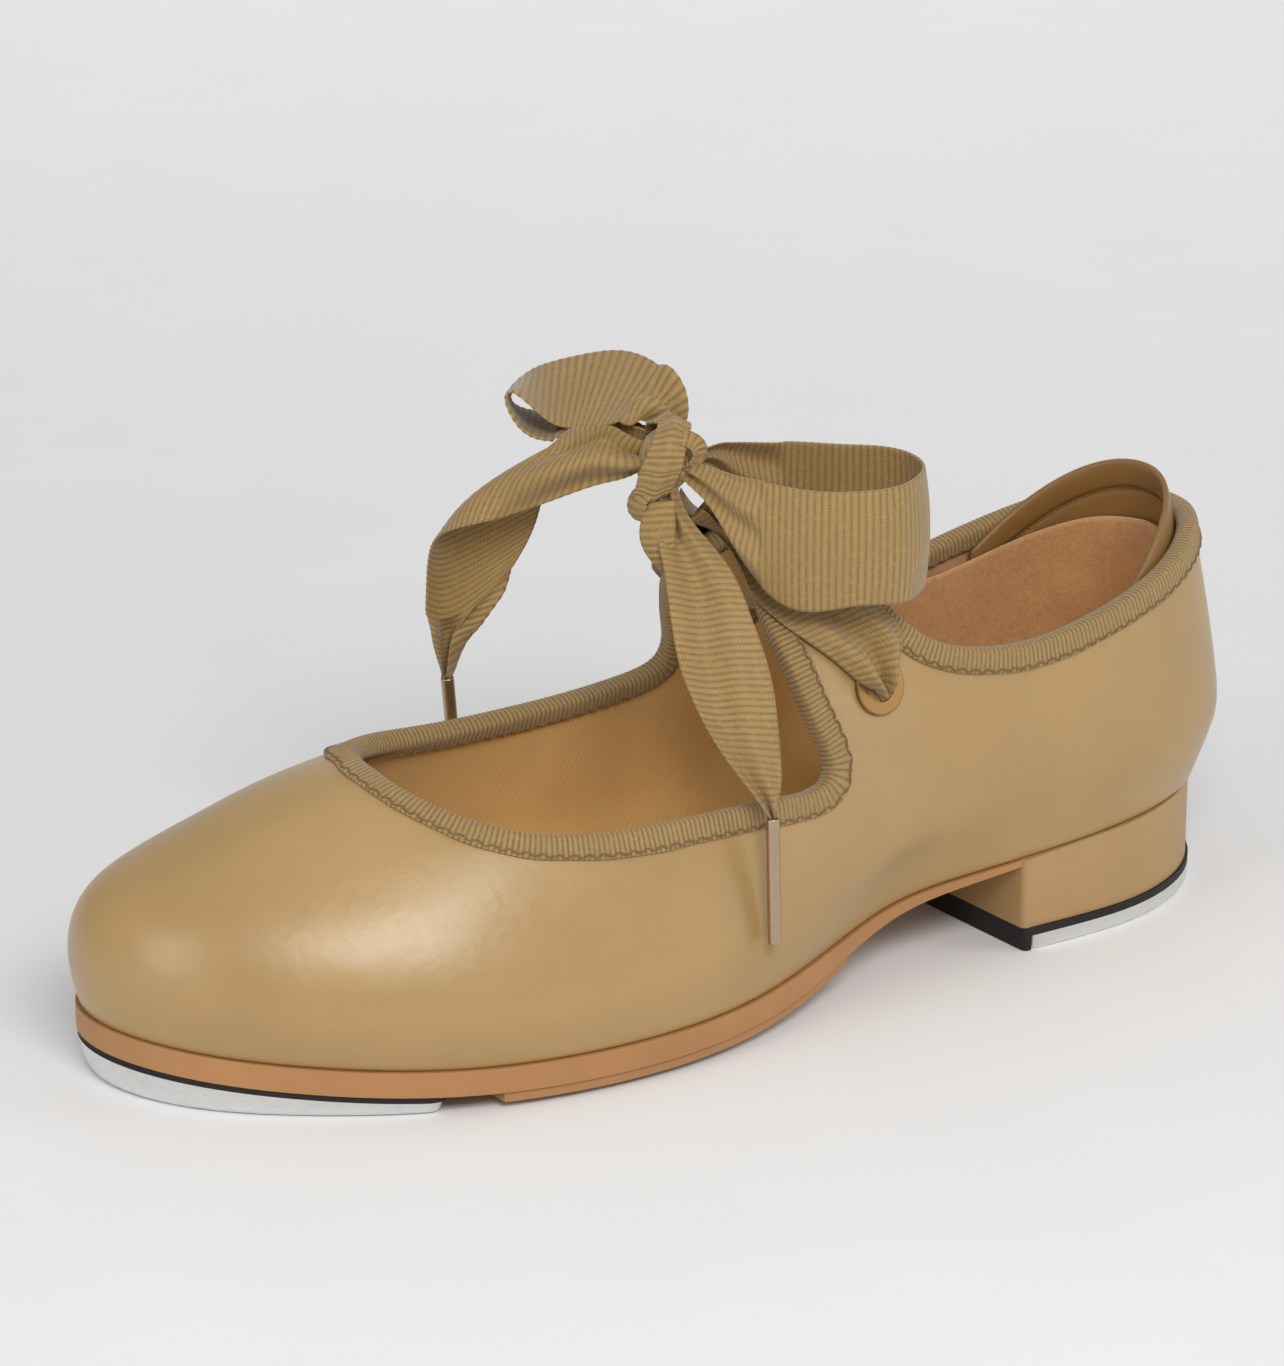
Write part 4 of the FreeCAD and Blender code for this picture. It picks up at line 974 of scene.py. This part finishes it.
def knot_wrap():
    """Ring of ribbon round the knot, leaning to the left as it comes down in front."""
    rails = []
    for side in (-1, 1):
        rail = []
        for k in range(16):
            a = 2 * math.pi * k / 16
            up, away = 7.6 * math.sin(a), -6.6 * math.cos(a)
            lean = 0.32 * up * (1 if away < 0 else 0.3)
            rail.append((-0.9 + lean + side * (3.7 - 0.7 * abs(math.sin(a))), away, up))
        rails.append(from_knot(rail))
    return ribbon_mesh("knot_wrap", rails, width_step=0.4, ring=True, pitch=1.0,
                       fold=lambda v, w: 0.9 * (2 * v - 1) ** 2 + 0.35 * np.sin(v * 9.0) - 0.3)


def knot_lobe():
    """Tucked fold that stands out to the right of the wrap."""
    rails = [
        from_knot([(1.6, -2.6, 5.8), (4.4, -3.6, 6.6), (7.0, -3.4, 4.6), (7.2, -2.8, 1.8),
                   (5.6, -3.0, -0.6), (2.6, -3.4, -1.8)]),
        from_knot([(1.6, -4.8, 4.2), (3.6, -5.6, 4.4), (4.9, -5.6, 3.2), (4.9, -5.4, 1.8),
                   (3.9, -5.2, 0.8), (2.0, -5.0, 0.0)]),
    ]
    return ribbon_mesh("knot_lobe", rails, width_step=0.4, pitch=1.0, curl=0.9)


def knot_tucks():
    """Small loop and pale fold that hang under the knot."""
    under = [
        from_knot([(-1.6, -1.6, -3.0), (-5.0, -2.2, -4.4), (-6.6, -2.2, -6.6), (-6.2, -1.8, -9.8),
                   (-4.2, -1.4, -10.8), (-2.0, -1.0, -8.4)]),
        from_knot([(-0.6, -5.0, -4.0), (-3.0, -5.8, -5.8), (-3.8, -5.8, -7.2), (-3.4, -5.4, -9.0),
                   (-2.4, -5.0, -9.6), (-1.0, -4.4, -8.6)]),
    ]
    fold = [
        from_knot([(-3.0, -4.4, -6.6), (-4.6, -5.6, -10.6), (-4.0, -6.0, -15.0), (-1.2, -5.8, -19.0),
                   (0.4, -5.4, -21.0)]),
        from_knot([(1.6, -5.0, -6.0), (1.8, -6.6, -10.0), (1.8, -7.0, -14.0), (2.0, -6.8, -17.6),
                   (2.2, -6.2, -21.0)]),
    ]
    return (ribbon_mesh("knot_under_loop", under, width_step=0.4, pitch=1.1, curl=0.4),
            ribbon_mesh("knot_pale_fold", fold, width_step=0.4, pitch=1.1, curl=0.8))


lobe = knot_lobe()
under_loop, pale_fold = knot_tucks()
core = knot_core()
wrap = knot_wrap()

# ---- the CAD pieces that stay
for node, material in {
    "toe_puff": "stiffener", "heel_counter": "stiffener", "eyelet_near": "eyelet_metal",
    "eyelet_far": "eyelet_metal", "eyelet_washer_near": "eyelet_metal", "eyelet_washer_far": "eyelet_metal",
    "outsole": "sole_leather", "forepart_pad": "pad_rubber", "toe_tap_board": "black_board",
    "toe_tap": "tap_metal", "toe_tap_screws": "screw_steel", "heel_block": "heel_stack",
    "heel_tap_board": "black_board", "heel_tap": "tap_metal", "heel_tap_screws": "screw_steel",
    "bottom_filler": "cork_filler", "shank": "shank_steel", "insole_board": "fibre_board",
    "aglet_near": "aglet_metal", "aglet_far": "aglet_metal",
}.items():
    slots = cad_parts[node].data.materials
    slots.clear()
    slots.append(MATERIALS[material])

# ---- what moves with what
for piece, body, nodes, slot_name in (
    (upper, "shoe", ["upper"], "upper_leather"),
    (vamp_lining, "shoe", ["vamp_lining"], "woven_lining"),
    (heel_lining, "shoe", ["heel_lining"], "suede_lining"),
    (suede_edge, "shoe", [], "suede_lining"),
    (binding, "shoe", ["topline_binding"], "grosgrain"),
    (stitches, "shoe", [], "grosgrain"),
    (collar_tab, "shoe", ["heel_collar_tab"], "collar_leather"),
    (collar_thread, "shoe", [], "collar_leather"),
    (sock, "shoe", ["sock_lining"], "sock"),
    (strand_near, "shoe", ["ribbon_strand_near"], "ribbon"),
    (strand_far, "shoe", ["ribbon_strand_far"], "ribbon"),
    (ribbon_cross, "shoe", ["ribbon_cross"], "ribbon"),
    (core, "shoe", ["ribbon_knot"], "ribbon"),
    (wrap, "shoe", [], "ribbon"),
    (lobe, "shoe", [], "ribbon"),
    (under_loop, "shoe", [], "ribbon"),
    (pale_fold, "shoe", [], "ribbon"),
    (loop_near, "near_loop", ["ribbon_loop_near"], "ribbon"),
    (loop_far, "far_loop", ["ribbon_loop_far"], "ribbon"),
    (tail_near, "near_tail", ["ribbon_tail_near"], "ribbon"),
    (tail_far, "far_tail", ["ribbon_tail_far"], "ribbon"),
):
    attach(piece, body)
    if nodes:
        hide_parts(*nodes)


# ---- floor, light and camera
AZIMUTH, ELEVATION = math.radians(-36), math.radians(20)


def floor_sheet():
    """Seamless paper: a flat floor that curves up into the backdrop."""
    bend_from, bend, wall_top = 2400, 1200, 4200
    rows = [(-9000, 0), (-2600, 0), (-900, 0), (900, 0), (bend_from, 0)]
    rows += [(bend_from + bend * math.sin(a), bend - bend * math.cos(a))
             for a in np.linspace(0.15, math.pi / 2, 10)]
    rows += [(bend_from + bend, wall_top)]
    points = []
    for forward, z in rows:
        for across in (-6000, 0, 6000):
            points.append((across * math.cos(AZIMUTH) - forward * math.sin(AZIMUTH),
                           across * math.sin(AZIMUTH) + forward * math.cos(AZIMUTH), z))
    return np.array(points), grid_faces(len(rows), 3)


paper = Shade("paper", roughness=0.85, specular=0.2)
grain = paper.noise(paper.coords(), 0.02, detail=2.0)
paper.colour(paper.ramp(grain, [(0.0, (0.85, 0.85, 0.85)), (1.0, (0.89, 0.89, 0.89))]))
floor_points, floor_faces = floor_sheet()
floor = add_object("studio_floor", floor_points, floor_faces[:, ::-1], material=paper.material)


def soft_light(name, place, size, power, target=(-80.0, 0.0, 40.0)):
    """White area light at a place in millimetres, with its size in metres, turned to a target."""
    data = bpy.data.lights.new(name, "AREA")
    data.shape = "RECTANGLE"
    data.size, data.size_y = size
    data.energy = power
    lamp = bpy.data.objects.new(name, data)
    lamp.location = Vector(place) * MM
    lamp.rotation_euler = (Vector(target) - Vector(place)).to_track_quat("-Z", "Y").to_euler()
    bpy.context.scene.collection.objects.link(lamp)


soft_light("key", (-480, -950, 900), (0.7, 0.4), 10.0)
soft_light("left_fill", (-1400, -100, 500), (0.5, 0.9), 4.2)
soft_light("right_fill", (900, -900, 500), (0.5, 0.9), 3.6)
soft_light("top", (-100, 250, 1500), (1.2, 1.2), 2.0)
soft_light("backdrop", (300, 900, 2000), (2.4, 2.4), 30.0, target=(2000.0, 2900.0, 900.0))

world = bpy.data.worlds.new("studio")
world.use_nodes = True
world.node_tree.nodes["Background"].inputs["Color"].default_value = (1.0, 1.0, 1.0, 1.0)
world.node_tree.nodes["Background"].inputs["Strength"].default_value = 0.34
bpy.context.scene.world = world
bpy.context.scene.view_settings.view_transform = "Standard"

back = Vector((math.sin(AZIMUTH) * math.cos(ELEVATION), -math.cos(AZIMUTH) * math.cos(ELEVATION),
               math.sin(ELEVATION)))
camera_data = bpy.data.cameras.new("camera")
camera_data.sensor_width = 36.0
camera_data.sensor_fit = "HORIZONTAL"
camera_data.lens = 157.0
camera_data.clip_end = 50.0
camera = bpy.data.objects.new("camera", camera_data)
camera.location = Vector((-664.7, -778.8, 411.7)) * MM
camera.rotation_euler = back.to_track_quat("Z", "Y").to_euler()
bpy.context.scene.collection.objects.link(camera)
bpy.context.scene.camera = camera
